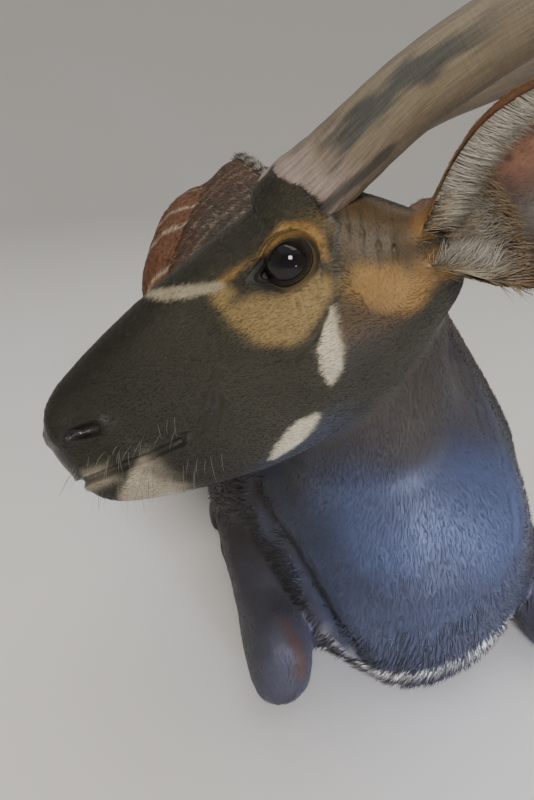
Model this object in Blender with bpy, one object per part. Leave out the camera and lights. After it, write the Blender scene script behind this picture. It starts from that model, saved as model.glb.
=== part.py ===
"""A life-size bull bongo antelope at rest: it lies on its chest and belly with the legs folded,
and its head is turned to its own right. It faces -Y, its left side is +X and +Z is up. Metres."""

import math
import random

import bmesh
import bpy
from mathutils import Matrix, Vector

# Gap between nodes that touch, and the level of the floor.
GAP = 0.0003
FLOOR = 0.0

# The head's own frame: a runs from the eyes to the nose, n up out of the forehead, t to its left.
HEAD_CENTRE = Vector((-0.1668, 0.0712, 0.5323))
HEAD_TURN = math.radians(94.5)
HEAD_DROP = math.radians(41.0)
HEAD_ROLL = math.radians(24.0)
EYE_RADIUS = 0.023
EYE_SIDE = 0.0525

# Sections along the head: a, top, bottom, widest level, half width, power above, power below.
HEAD_SECTIONS = (
    (-0.112, -0.030, -0.108, -0.066, 0.054, 2.0, 2.0),
    (-0.098, -0.004, -0.118, -0.058, 0.064, 2.1, 2.0),
    (-0.078, 0.028, -0.125, -0.048, 0.071, 2.2, 2.0),
    (-0.050, 0.056, -0.131, -0.040, 0.073, 2.3, 2.0),
    (-0.020, 0.068, -0.136, -0.034, 0.070, 2.3, 2.1),
    (0.020, 0.073, -0.141, -0.032, 0.066, 2.3, 2.3),
    (0.055, 0.076, -0.144, -0.034, 0.061, 2.4, 2.4),
    (0.090, 0.078, -0.143, -0.034, 0.055, 2.5, 2.4),
    (0.122, 0.080, -0.137, -0.028, 0.0505, 2.5, 2.3),
    (0.156, 0.081, -0.126, -0.022, 0.0475, 2.5, 2.3),
    (0.190, 0.080, -0.112, -0.014, 0.0465, 2.5, 2.3),
    (0.223, 0.078, -0.097, -0.005, 0.0470, 2.5, 2.3),
    (0.255, 0.074, -0.080, 0.003, 0.0475, 2.5, 2.3),
    (0.278, 0.066, -0.066, 0.006, 0.0450, 2.5, 2.3),
    (0.293, 0.053, -0.052, 0.006, 0.0380, 2.4, 2.3),
    (0.302, 0.033, -0.035, 0.004, 0.0250, 2.2, 2.2),
)
# Rounded masses on the head, mirrored to both sides: a, n, t and the three half sizes.
HEAD_MASSES = (
    (0.000, 0.002, 0.0450, 0.036, 0.030, 0.0225),
    (-0.004, 0.025, 0.0470, 0.030, 0.013, 0.0235),
    (-0.044, 0.040, 0.0430, 0.038, 0.036, 0.031),
    (0.030, -0.078, 0.0340, 0.066, 0.046, 0.033),
    (0.266, 0.030, 0.0270, 0.026, 0.028, 0.022),
    (0.236, -0.024, 0.0290, 0.040, 0.020, 0.021),
    (-0.086, -0.054, 0.0520, 0.026, 0.028, 0.024),
)

# Sections of the neck: centre, which way its nape faces, half width, depth to nape and to throat.
NECK_SECTIONS = (
    ((0.008, 0.300, 0.225), (0.00, 0.60, 0.80), 0.160, 0.200, 0.180),
    ((-0.006, 0.220, 0.250), (0.10, 0.70, 0.70), 0.140, 0.146, 0.154),
    ((-0.044, 0.150, 0.310), (0.38, 0.72, 0.52), 0.114, 0.112, 0.128),
    ((-0.068, 0.112, 0.380), (0.62, 0.58, 0.48), 0.100, 0.096, 0.114),
    ((-0.084, 0.090, 0.446), (0.78, 0.36, 0.48), 0.090, 0.090, 0.106),
    ((-0.092, 0.074, 0.500), (0.80, 0.24, 0.54), 0.080, 0.080, 0.102),
    ((-0.104, 0.064, 0.540), (0.72, 0.20, 0.66), 0.068, 0.062, 0.090),
)
NECK_BASE_POINT = Vector((-0.015, 0.175, 0.330))
NECK_BASE_AXIS = Vector((-0.30, -0.62, 0.72)).normalized()
HEAD_CUT_POINT = Vector((-0.105, 0.090, 0.425))
HEAD_CUT_AXIS = Vector((-0.75, -0.10, 0.65)).normalized()

# Sections of the trunk: Y, half width, widest level, bottom, top, power above, power below.
TRUNK_SECTIONS = (
    (-0.034, 0.040, 0.140, 0.085, 0.195, 2.0, 2.0),
    (-0.020, 0.088, 0.145, 0.026, 0.250, 2.0, 2.0),
    (0.000, 0.122, 0.150, -0.004, 0.295, 2.0, 2.1),
    (0.035, 0.150, 0.150, -0.008, 0.335, 1.9, 2.2),
    (0.085, 0.172, 0.155, -0.008, 0.368, 1.9, 2.3),
    (0.160, 0.192, 0.165, -0.008, 0.415, 1.8, 2.4),
    (0.280, 0.212, 0.180, -0.008, 0.490, 1.7, 2.6),
    (0.420, 0.230, 0.195, -0.008, 0.547, 1.65, 2.7),
    (0.580, 0.250, 0.200, -0.008, 0.545, 1.7, 2.7),
    (0.750, 0.266, 0.200, -0.008, 0.541, 1.75, 2.7),
    (0.920, 0.272, 0.205, -0.008, 0.549, 1.7, 2.7),
    (1.080, 0.258, 0.220, -0.006, 0.570, 1.6, 2.6),
    (1.220, 0.228, 0.240, 0.004, 0.582, 1.55, 2.4),
    (1.330, 0.190, 0.270, 0.045, 0.572, 1.6, 2.2),
    (1.410, 0.148, 0.310, 0.120, 0.532, 1.8, 2.0),
    (1.460, 0.092, 0.340, 0.215, 0.466, 2.0, 2.0),
    (1.478, 0.040, 0.345, 0.280, 0.410, 2.0, 2.0),
)
# The shoulders under the trunk's skin: chains of centre and radius, for the left side.
SHOULDER_CHAIN = (
    ((0.075, 0.430, 0.430), 0.068),
    ((0.122, 0.330, 0.305), 0.078),
    ((0.138, 0.225, 0.215), 0.086),
    ((0.160, 0.290, 0.175), 0.090),
    ((0.170, 0.370, 0.155), 0.076),
)
RIGHT, LEFT = -1, 1

# Fore leg, for the left side: points of a limb with half width and half height.
FOREARM = (
    ((0.176, 0.395, 0.150), 0.052, 0.060),
    ((0.180, 0.340, 0.140), 0.056, 0.064),
    ((0.186, 0.250, 0.120), 0.052, 0.056),
    ((0.189, 0.160, 0.102), 0.044, 0.044),
    ((0.189, 0.105, 0.090), 0.041, 0.042),
    ((0.188, 0.070, 0.072), 0.044, 0.066),
    ((0.188, 0.040, 0.068), 0.045, 0.069),
    ((0.188, 0.014, 0.068), 0.042, 0.062),
    ((0.187, -0.003, 0.066), 0.032, 0.046),
    ((0.187, -0.010, 0.066), 0.016, 0.024),
)
FORE_CANNON = (
    ((0.188, 0.060, 0.028), 0.030, 0.026),
    ((0.189, 0.100, 0.0245), 0.027, 0.0255),
    ((0.190, 0.170, 0.0235), 0.024, 0.0245),
    ((0.191, 0.240, 0.0240), 0.0235, 0.0245),
    ((0.192, 0.280, 0.0280), 0.030, 0.0290),
    ((0.193, 0.305, 0.0300), 0.032, 0.0310),
    ((0.193, 0.335, 0.0270), 0.026, 0.0270),
    ((0.193, 0.372, 0.0260), 0.024, 0.0240),
    ((0.193, 0.386, 0.0260), 0.021, 0.0210),
)
FORE_HOOF = ((0.193, 0.384, 0.026), (0.0, 1.0, -0.04))

# Hind leg, for the left side. The right thigh stands a little higher and wider.
THIGH = (
    ((0.082, 1.330, 0.420), 0.060, 0.080),
    ((0.108, 1.270, 0.402), 0.090, 0.116),
    ((0.150, 1.180, 0.360), 0.100, 0.132),
    ((0.195, 1.090, 0.315), 0.088, 0.118),
    ((0.225, 1.020, 0.285), 0.074, 0.094),
    ((0.238, 0.975, 0.268), 0.052, 0.066),
    ((0.243, 0.955, 0.262), 0.024, 0.034),
)
SHANK = (
    ((0.232, 1.020, 0.235), 0.056, 0.062),
    ((0.240, 1.090, 0.205), 0.062, 0.074),
    ((0.250, 1.190, 0.160), 0.056, 0.066),
    ((0.258, 1.290, 0.112), 0.042, 0.048),
    ((0.264, 1.360, 0.082), 0.036, 0.046),
    ((0.268, 1.405, 0.068), 0.034, 0.044),
    ((0.270, 1.432, 0.062), 0.020, 0.028),
)
HIND_CANNON = (
    ((0.272, 1.400, 0.044), 0.031, 0.036),
    ((0.278, 1.350, 0.034), 0.030, 0.033),
    ((0.286, 1.280, 0.027), 0.026, 0.028),
    ((0.294, 1.200, 0.025), 0.025, 0.026),
    ((0.300, 1.150, 0.029), 0.031, 0.030),
    ((0.303, 1.125, 0.030), 0.032, 0.031),
    ((0.306, 1.095, 0.028), 0.027, 0.028),
    ((0.309, 1.058, 0.027), 0.025, 0.025),
    ((0.310, 1.044, 0.027), 0.021, 0.021),
)
HIND_HOOF = ((0.310, 1.047, 0.027), (0.07, -1.0, -0.04))
RIGHT_THIGH_LIFT = -0.020
RIGHT_THIGH_OUT = 0.012
HOOF_LENGTH = 0.078
HOOF_HALF_WIDTH = 0.0165
HOOF_HALF_HEIGHT = 0.026

# The tail hangs from the rump to the floor and ends in a tuft.
TAIL = (
    ((0.000, 1.440, 0.440), 0.030, 0.026),
    ((0.004, 1.492, 0.395), 0.026, 0.021),
    ((0.014, 1.515, 0.310), 0.020, 0.017),
    ((0.030, 1.524, 0.210), 0.016, 0.014),
    ((0.056, 1.532, 0.115), 0.014, 0.012),
    ((0.092, 1.540, 0.050), 0.013, 0.011),
    ((0.138, 1.543, 0.020), 0.013, 0.011),
    ((0.170, 1.542, 0.013), 0.011, 0.010),
)
TUFT_LENGTH = 0.150
TUFT_LOCKS = 8

# Horn: distance back, up and out from the eyes' middle, half thickness, for the left side.
# The far horn rises a little more, so that it stays behind the near one.
HORN_PATH = (
    ((0.018, 0.036, 0.031), 0.0350),
    ((0.042, 0.038, 0.045), 0.0385),
    ((0.080, 0.035, 0.058), 0.0385),
    ((0.122, 0.033, 0.070), 0.0370),
    ((0.165, 0.029, 0.081), 0.0340),
    ((0.220, 0.018, 0.096), 0.0295),
    ((0.300, -0.006, 0.122), 0.0245),
    ((0.400, -0.034, 0.150), 0.0212),
    ((0.500, -0.020, 0.156), 0.0172),
    ((0.590, 0.022, 0.142), 0.0134),
    ((0.660, 0.068, 0.130), 0.0092),
    ((0.708, 0.106, 0.132), 0.0050),
    ((0.726, 0.121, 0.135), 0.0022),
)
HORN_SIDES = 12
HORN_STEPS = 24
HORN_TURNS = 0.95
HORN_KEEL = 0.14
HORN_FLATTEN = 0.86
FAR_HORN_RISE = 0.030

# Ear: its root on the head as a, n, t, then its line and the way its cup opens.
EAR_ROOT = Vector((-0.092, -0.066, 0.050))
EAR_LINE = Vector((0.624, -0.604, 0.496))
EAR_OPEN = Vector((-0.652, -0.752, -0.098))
FAR_EAR_LINE = Vector((0.14, 0.96, -0.12))
FAR_EAR_OPEN = Vector((-0.80, 0.35, 0.35))
EAR_LENGTH = 0.225
EAR_STEPS = 10
EAR_SPAN = 8
# Along the ear: share of its length, cup radius, half angle of the cup in degrees.
EAR_CUP = (
    (0.00, 0.024, 160),
    (0.10, 0.034, 140),
    (0.22, 0.054, 110),
    (0.36, 0.073, 86),
    (0.52, 0.083, 69),
    (0.68, 0.079, 59),
    (0.82, 0.060, 51),
    (0.93, 0.035, 44),
    (1.00, 0.009, 36),
)
EAR_THICKNESS = 0.0042
FRONT_LOCKS, LOWER_LOCKS = 9, 4

# Short crest of hair along the spine: first and last Y, spacing and hair length.
CREST_START, CREST_END, CREST_STEP = 0.450, 1.360, 0.036
CREST_LENGTH = 0.046


def clear_scene():
    for obj in list(bpy.data.objects):
        bpy.data.objects.remove(obj, do_unlink=True)


def material(name, colour, roughness):
    made = bpy.data.materials.new(name)
    made.use_nodes = True
    shader = made.node_tree.nodes["Principled BSDF"]
    shader.inputs["Base Color"].default_value = (*colour, 1.0)
    shader.inputs["Roughness"].default_value = roughness
    shader.inputs["Metallic"].default_value = 0.0
    return made


def head_axes():
    forward = Vector((-math.sin(HEAD_TURN), -math.cos(HEAD_TURN), 0.0))
    up = Vector((0.0, 0.0, 1.0))
    nose = forward * math.cos(HEAD_DROP) - up * math.sin(HEAD_DROP)
    brow = forward * math.sin(HEAD_DROP) + up * math.cos(HEAD_DROP)
    roll = Matrix.Rotation(HEAD_ROLL, 3, nose)
    brow = roll @ brow
    return nose, brow, brow.cross(nose)


def on_head(a, n, t):
    nose, brow, left = head_axes()
    return HEAD_CENTRE + nose * a + brow * n + left * t


def mesh_object(name, points, faces):
    mesh = bpy.data.meshes.new(name)
    mesh.from_pydata([tuple(p) for p in points], [], faces)
    triangulate(mesh)
    obj = bpy.data.objects.new(name, mesh)
    bpy.context.scene.collection.objects.link(obj)
    return obj


def triangulate(mesh):
    made = bmesh.new()
    made.from_mesh(mesh)
    bmesh.ops.triangulate(made, faces=made.faces[:], quad_method="FIXED", ngon_method="BEAUTY")
    made.to_mesh(mesh)
    made.free()
    mesh.update()


def loft(name, rings):
    """A closed body through rings of equal count, with a flat cap at each end."""
    count = len(rings[0])
    points = [p for ring in rings for p in ring]
    faces = []
    for i in range(len(rings) - 1):
        for j in range(count):
            k = (j + 1) % count
            low, high = i * count, (i + 1) * count
            faces.append((low + j, low + k, high + k, high + j))
    faces.append(tuple(reversed(range(count))))
    faces.append(tuple(range(len(points) - count, len(points))))
    obj = mesh_object(name, points, faces)
    if signed_volume(obj.data) < 0:
        obj.data.flip_normals()
    return obj


def signed_volume(mesh):
    mesh.calc_loop_triangles()
    total = 0.0
    for tri in mesh.loop_triangles:
        a, b, c = (mesh.vertices[i].co for i in tri.vertices)
        total += a.dot(b.cross(c)) / 6.0
    return total


def rounded(value, power):
    return math.copysign(abs(value) ** (2.0 / power), value)


def smooth_rows(rows, steps):
    """Rows of numbers resampled along a smooth curve through all of them."""
    out = []
    spans = len(rows) - 1
    for step in range(steps + 1):
        place = spans * step / steps
        i = min(int(place), spans - 1)
        u = place - i
        before = rows[max(i - 1, 0)]
        after = rows[min(i + 2, spans)]
        row = []
        for p0, p1, p2, p3 in zip(before, rows[i], rows[i + 1], after):
            row.append(
                0.5 * (2 * p1 + (p2 - p0) * u + (2 * p0 - 5 * p1 + 4 * p2 - p3) * u * u
                       + (3 * p1 - p0 - 3 * p2 + p3) * u ** 3)
            )
        out.append(row)
    return out


def head_ring(row, sides):
    a, top, bottom, middle, width, above, below = row
    ring = []
    for k in range(sides):
        angle = 2 * math.pi * k / sides
        c, s = math.cos(angle), math.sin(angle)
        power = above if s >= 0 else below
        reach = (top - middle) if s >= 0 else (middle - bottom)
        ring.append(on_head(a, middle + reach * rounded(s, power), width * rounded(c, power)))
    return ring


def trunk_ring(row, sides):
    y, width, middle, bottom, top, above, below = row
    ring = []
    for k in range(sides):
        angle = 2 * math.pi * k / sides
        c, s = math.cos(angle), math.sin(angle)
        power = above if s >= 0 else below
        reach = (top - middle) if s >= 0 else (middle - bottom)
        ring.append(Vector((width * rounded(c, power), y, middle + reach * rounded(s, power))))
    return ring


def limb_rings(rows, sides):
    """Rings across a bent limb. Each row holds a point, a half width and a half height."""
    points = [Vector(r[:3]) for r in rows]
    rings = []
    for i, row in enumerate(rows):
        ahead = points[min(i + 1, len(points) - 1)] - points[max(i - 1, 0)]
        ahead.normalize()
        side = ahead.cross(Vector((0, 0, 1)))
        if side.length < 0.2:
            side = Vector((1, 0, 0))
        side.normalize()
        rise = side.cross(ahead).normalized()
        ring = []
        for k in range(sides):
            angle = 2 * math.pi * k / sides
            across, over = row[3] * math.cos(angle), row[4] * math.sin(angle)
            ring.append(points[i] + side * across + rise * over)
        rings.append(ring)
    return rings


def flat_rows(rows, side=LEFT, lift=0.0, out=0.0):
    made = []
    for i, (point, width, height) in enumerate(rows):
        x, y, z = point
        share = min(1.0, i / 3.0)
        made.append(((x + out * share) * side, y, z + lift * share, width, height))
    return made


def limb(name, rows, sides, steps):
    return loft(name, limb_rings(smooth_rows(rows, steps), sides))


def ball(name, centre, sizes, axes, segments=20, rings=12):
    points, faces = [], []
    for i in range(1, rings):
        polar = math.pi * i / rings
        for j in range(segments):
            turn = 2 * math.pi * j / segments
            offset = (
                axes[0] * (sizes[0] * math.sin(polar) * math.cos(turn))
                + axes[1] * (sizes[1] * math.sin(polar) * math.sin(turn))
                + axes[2] * (sizes[2] * math.cos(polar))
            )
            points.append(centre + offset)
    top = len(points)
    points.append(centre + axes[2] * sizes[2])
    points.append(centre - axes[2] * sizes[2])
    for i in range(rings - 2):
        for j in range(segments):
            k = (j + 1) % segments
            faces.append((i * segments + j, (i + 1) * segments + j,
                          (i + 1) * segments + k, i * segments + k))
    for j in range(segments):
        k = (j + 1) % segments
        faces.append((top, j, k))
        low = (rings - 2) * segments
        faces.append((top + 1, low + k, low + j))
    obj = mesh_object(name, points, faces)
    if signed_volume(obj.data) < 0:
        obj.data.flip_normals()
    return obj


def chain(name, spheres, side):
    """Rounded masses set close along a line, from centres and radii."""
    parts = []
    unit = (Vector((1, 0, 0)), Vector((0, 1, 0)), Vector((0, 0, 1)))
    rows = smooth_rows([(*c, r) for c, r in spheres], (len(spheres) - 1) * 3)
    for x, y, z, radius in rows:
        parts.append(ball(name, Vector((x * side, y, z)), (radius,) * 3, unit, 16, 10))
    return parts


def bake(obj):
    """The object's mesh with its modifiers applied, in triangles."""
    graph = bpy.context.evaluated_depsgraph_get()
    made = bpy.data.meshes.new_from_object(obj.evaluated_get(graph))
    obj.modifiers.clear()
    triangulate(made)
    obj.data = made
    return obj


def join(name, parts):
    points, faces = [], []
    for part in parts:
        base = len(points)
        points += [v.co.copy() for v in part.data.vertices]
        faces += [tuple(base + i for i in f.vertices) for f in part.data.polygons]
        bpy.data.objects.remove(part, do_unlink=True)
    return mesh_object(name, points, faces)


def melt(obj, cell, passes, triangles):
    """One even surface round all of the object's overlapping bodies, smoothed and thinned."""
    remesh = obj.modifiers.new("surface", "REMESH")
    remesh.mode = "VOXEL"
    remesh.voxel_size = cell
    bake(obj)
    soften = obj.modifiers.new("soften", "SMOOTH")
    soften.factor = 0.5
    soften.iterations = passes
    bake(obj)
    count = sum(len(f.vertices) - 2 for f in obj.data.polygons)
    thin = obj.modifiers.new("thin", "DECIMATE")
    thin.ratio = min(1.0, triangles / count)
    bake(obj)
    return largest(obj)


def largest(obj):
    """Keeps the largest closed surface of the mesh."""
    mesh = obj.data
    parent = list(range(len(mesh.vertices)))

    def root(i):
        while parent[i] != i:
            parent[i] = parent[parent[i]]
            i = parent[i]
        return i

    for edge in mesh.edges:
        a, b = root(edge.vertices[0]), root(edge.vertices[1])
        if a != b:
            parent[a] = b
    groups = {}
    for face in mesh.polygons:
        groups.setdefault(root(face.vertices[0]), []).append(tuple(face.vertices))
    if len(groups) < 2:
        return obj

    def size(faces):
        total = 0.0
        for face in faces:
            a = mesh.vertices[face[0]].co
            for i in range(1, len(face) - 1):
                b, c = mesh.vertices[face[i]].co, mesh.vertices[face[i + 1]].co
                total += a.dot(b.cross(c)) / 6.0
        return abs(total)

    keep = max(groups.values(), key=size)
    used = sorted({i for face in keep for i in face})
    index = {old: new for new, old in enumerate(used)}
    points = [mesh.vertices[i].co.copy() for i in used]
    made = bpy.data.meshes.new(mesh.name)
    made.from_pydata([tuple(p) for p in points], [], [tuple(index[i] for i in f) for f in keep])
    made.update()
    obj.data = made
    return obj


def boolean(obj, other, operation, solver="EXACT"):
    step = obj.modifiers.new("cut", "BOOLEAN")
    step.operation = operation
    step.solver = solver
    step.object = other
    bake(obj)
    return obj


def grown(obj, by):
    """A copy of the object whose surface lies further out, used only to cut its neighbour."""
    copy = obj.copy()
    copy.data = obj.data.copy()
    bpy.context.scene.collection.objects.link(copy)
    normals = [v.normal.copy() for v in copy.data.vertices]
    for v, normal in zip(copy.data.vertices, normals):
        v.co += normal * by
    return copy


def seat(obj, neighbour, by=None):
    """Cuts the neighbour's shape out of the object, so that the two meet face to face."""
    cutter = grown(neighbour, GAP * 1.6 if by is None else by)
    boolean(obj, cutter, "DIFFERENCE", "MANIFOLD")
    bpy.data.objects.remove(cutter, do_unlink=True)
    return largest(obj)


def slab(point, axis, near, far, reach=1.2):
    """A block that fills the space from near to far along the axis."""
    turn = axis.to_track_quat("Z", "Y").to_matrix()
    points = []
    for z in (near, far):
        for x, y in ((-1, -1), (1, -1), (1, 1), (-1, 1)):
            points.append(point + turn @ Vector((x * reach, y * reach, z)))
    faces = [(3, 2, 1, 0), (4, 5, 6, 7), (0, 1, 5, 4), (1, 2, 6, 5), (2, 3, 7, 6), (3, 0, 4, 7)]
    return mesh_object("slab", points, faces)


def keep_side(obj, point, axis, gap):
    """Keeps what lies along the axis from the plane, less half the gap."""
    block = slab(point, axis, -3.0, gap / 2)
    boolean(obj, block, "DIFFERENCE")
    bpy.data.objects.remove(block, do_unlink=True)
    return largest(obj)


def trim_floor(obj):
    return keep_side(obj, Vector((0, 0, FLOOR)), Vector((0, 0, 1)), 0.0)


def lock(root, line, flat, length, width, thickness, bend, segments=3):
    """One flat tapered lock of hair. It leaves the root along line and bends along bend."""
    rings, points, faces = [], [], []
    line = line.normalized()
    side = line.cross(flat).normalized()
    for i in range(segments):
        u = i / segments
        centre = root + line * (length * u) + bend * (length * u * u)
        taper = (1.0 - 0.25 * u) if i == 0 else (1.0 - u) ** 0.7
        across = side * (width * 0.5 * taper)
        face = flat.normalized() * (thickness * 0.5 * (1.0 - 0.6 * u))
        rings.append(len(points))
        points += [centre - across, centre - face, centre + across, centre + face]
    for i in range(segments - 1):
        for j in range(4):
            k = (j + 1) % 4
            faces.append((rings[i] + j, rings[i] + k, rings[i + 1] + k, rings[i + 1] + j))
    tip = len(points)
    points.append(root + line * length + bend * length)
    last = rings[-1]
    for j in range(4):
        faces.append((last + j, last + (j + 1) % 4, tip))
    faces.append((3, 2, 1, 0))
    obj = mesh_object("lock", points, faces)
    if signed_volume(obj.data) < 0:
        obj.data.flip_normals()
    return obj


def fuse(obj, parts):
    """Joins closed pieces to the object with one Boolean union."""
    group = bpy.data.collections.new("pieces")
    bpy.context.scene.collection.children.link(group)
    for part in parts:
        bpy.context.scene.collection.objects.unlink(part)
        group.objects.link(part)
    step = obj.modifiers.new("fuse", "BOOLEAN")
    step.operation = "UNION"
    step.operand_type = "COLLECTION"
    step.collection = group
    step.solver = "EXACT"
    bake(obj)
    for part in list(group.objects):
        bpy.data.objects.remove(part, do_unlink=True)
    bpy.data.collections.remove(group)
    return largest(obj)


def neck_loft(name, first=0):
    rows = []
    for centre, nape, width, back, front in NECK_SECTIONS[first:]:
        rows.append((*centre, *nape, width, back, front))
    rows = smooth_rows(rows, 18)
    points = [Vector(r[:3]) for r in rows]
    rings = []
    for i, row in enumerate(rows):
        ahead = (points[min(i + 1, len(rows) - 1)] - points[max(i - 1, 0)]).normalized()
        nape = Vector(row[3:6])
        nape = (nape - ahead * nape.dot(ahead)).normalized()
        side = nape.cross(ahead).normalized()
        ring = []
        for k in range(24):
            angle = 2 * math.pi * k / 24
            s = math.sin(angle)
            reach = row[7] if s >= 0 else row[8]
            ring.append(points[i] + side * (row[6] * math.cos(angle)) + nape * (reach * s))
        rings.append(ring)
    return loft(name, rings)


def head_masses(name):
    nose, brow, left = head_axes()
    parts = []
    for a, n, t, da, dn, dt in HEAD_MASSES:
        for side in (RIGHT, LEFT):
            parts.append(ball(name, on_head(a, n, t * side), (da, dn, dt), (nose, brow, left)))
    return parts


def skull_parts(name):
    rows = smooth_rows(HEAD_SECTIONS, 45)
    return [loft(name, [head_ring(row, 36) for row in rows])] + head_masses(name)


def make_head_flesh(name, cell, passes, triangles):
    parts = skull_parts(name) + [neck_loft(name, 2)]
    return melt(join(name, parts), cell, passes, triangles)


def make_body_flesh(name, cell, passes, triangles):
    rows = smooth_rows(TRUNK_SECTIONS, 60)
    parts = [loft(name, [trunk_ring(row, 36) for row in rows])]
    parts += skull_parts(name) + [neck_loft(name)]
    for side in (RIGHT, LEFT):
        parts += chain(name, SHOULDER_CHAIN, side)
    return melt(join(name, parts), cell, passes, triangles)


def make_eye(name, side):
    nose, brow, left = head_axes()
    centre = on_head(0.0, 0.0, EYE_SIDE * side)
    return ball(name, centre, (EYE_RADIUS,) * 3, (nose, brow, left * side), 16, 10)


def eyelids(side):
    """Upper and lower lid as one almond-shaped roll round the eye's opening."""
    nose, brow, left = head_axes()
    out = left * side
    centre = on_head(0.0, 0.0, EYE_SIDE * side)
    steps, sides = 16, 5
    points, faces = [], []
    for i in range(steps):
        angle = 2 * math.pi * i / steps
        u, w = math.cos(angle), math.sin(angle)
        reach_a = 0.0205 if u > 0 else 0.0185
        reach_n = 0.0155 if w > 0 else 0.0150
        ta, tn = u * reach_a, w * reach_n
        depth = math.sqrt(EYE_RADIUS ** 2 - min(ta * ta + tn * tn, 0.96 * EYE_RADIUS ** 2))
        spot = centre + nose * ta + brow * tn + out * depth
        away = (nose * u + brow * w).normalized()
        thick = 0.0042 if w > 0 else 0.0034
        for k in range(sides):
            turn = 2 * math.pi * k / sides
            reach, rise = 0.0035 + thick * math.cos(turn), 0.75 * thick * math.sin(turn) - 0.001
            points.append(spot + away * reach + out * rise)
    for i in range(steps):
        for k in range(sides):
            m, q = (i + 1) % steps, (k + 1) % sides
            faces.append((i * sides + k, m * sides + k, m * sides + q, i * sides + q))
    obj = mesh_object("lids", points, faces)
    if signed_volume(obj.data) < 0:
        obj.data.flip_normals()
    return obj


def nostril(side):
    nose, brow, left = head_axes()
    line = (nose * 0.62 + brow * 0.30 + left * (side * 0.72)).normalized()
    up = (brow - line * brow.dot(line)).normalized()
    across = line.cross(up).normalized()
    place = on_head(0.283, 0.026, 0.031 * side)
    return ball("nostril", place, (0.0062, 0.0115, 0.012), (across, up, line), 12, 8)


def mouth_line():
    """A thin wedge that parts the lips from the nose back to the corners of the mouth."""
    rings = []
    rows = ((0.322, -0.016, 0.0026), (0.285, -0.023, 0.0026), (0.250, -0.034, 0.0024),
            (0.215, -0.046, 0.0021), (0.184, -0.054, 0.0014))
    for a, n, half in rows:
        rings.append([on_head(a, n - half, -0.08), on_head(a, n + half, -0.08),
                      on_head(a, n + half, 0.08), on_head(a, n - half, 0.08)])
    return loft("mouth", rings)


def mouth_core(depth=0.006):
    """The solid that stays inside the lips where the mouth line is cut."""
    rows = [row for row in HEAD_SECTIONS if row[0] > 0.15]
    rings = []
    for a, top, bottom, middle, width, above, below in rows:
        row = (a - depth, top - depth, bottom + depth, middle, width - depth, above, below)
        rings.append(head_ring(row, 24))
    return loft("mouth_core", rings)


def ear_axes(side):
    """Along the ear, the way its cup opens, and across it."""
    line, opening = (EAR_LINE, EAR_OPEN) if side == LEFT else (FAR_EAR_LINE, FAR_EAR_OPEN)
    line = line.normalized()
    opening = (opening - line * opening.dot(line)).normalized()
    return line, opening, line.cross(opening)


def ear_point(side, share, across, inset):
    """A point of the ear's outer skin, or of its inner skin where inset is the thickness."""
    line, opening, width = ear_axes(side)
    row = EAR_CUP[0]
    for candidate in smooth_rows(EAR_CUP, 64):
        if candidate[0] <= share + 1e-9:
            row = candidate
    angle = across * math.radians(row[2])
    radius = max(row[1] - inset, row[1] * 0.2)
    bend = 0.020 * share * share
    root = on_head(EAR_ROOT.x, EAR_ROOT.y, EAR_ROOT.z * side)
    out = radius * math.cos(angle) + bend
    return root + line * (EAR_LENGTH * share) + width * (radius * math.sin(angle)) - opening * out


def make_ear(name, side):
    """A cupped ear: an outer and an inner skin with the same triangles, closed at the rims."""
    line = ear_axes(side)[0]
    points, faces = [], []
    shares = [-0.16] + [i / (EAR_STEPS - 1) for i in range(EAR_STEPS)]
    count = EAR_SPAN + 1
    for layer in (0, 1):
        for share in shares:
            for j in range(count):
                across = -1.0 + 2.0 * j / EAR_SPAN
                inset = EAR_THICKNESS * (1.0 - 0.5 * max(share, 0.0)) * (1.0 - 0.35 * across * across)
                spot = ear_point(side, max(share, 0.0), across, inset * layer)
                points.append(spot + line * (EAR_LENGTH * min(share, 0.0)))
    rows = len(shares)

    def at(layer, i, j):
        return (layer * rows + i) * count + j

    for i in range(rows - 1):
        for j in range(EAR_SPAN):
            a, b, c, d = at(0, i, j), at(0, i, j + 1), at(0, i + 1, j + 1), at(0, i + 1, j)
            faces += [(a, b, c), (a, c, d)]
            a, b, c, d = at(1, i, j), at(1, i, j + 1), at(1, i + 1, j + 1), at(1, i + 1, j)
            faces += [(c, b, a), (d, c, a)]
        for j, flip in ((0, False), (EAR_SPAN, True)):
            quad = (at(0, i, j), at(0, i + 1, j), at(1, i + 1, j), at(1, i, j))
            faces.append(tuple(reversed(quad)) if flip else quad)
    for i, flip in ((0, True), (rows - 1, False)):
        for j in range(EAR_SPAN):
            quad = (at(0, i, j), at(0, i, j + 1), at(1, i, j + 1), at(1, i, j))
            faces.append(tuple(reversed(quad)) if flip else quad)
    obj = mesh_object(name, points, faces)
    if signed_volume(obj.data) < 0:
        obj.data.flip_normals()
    return obj


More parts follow.
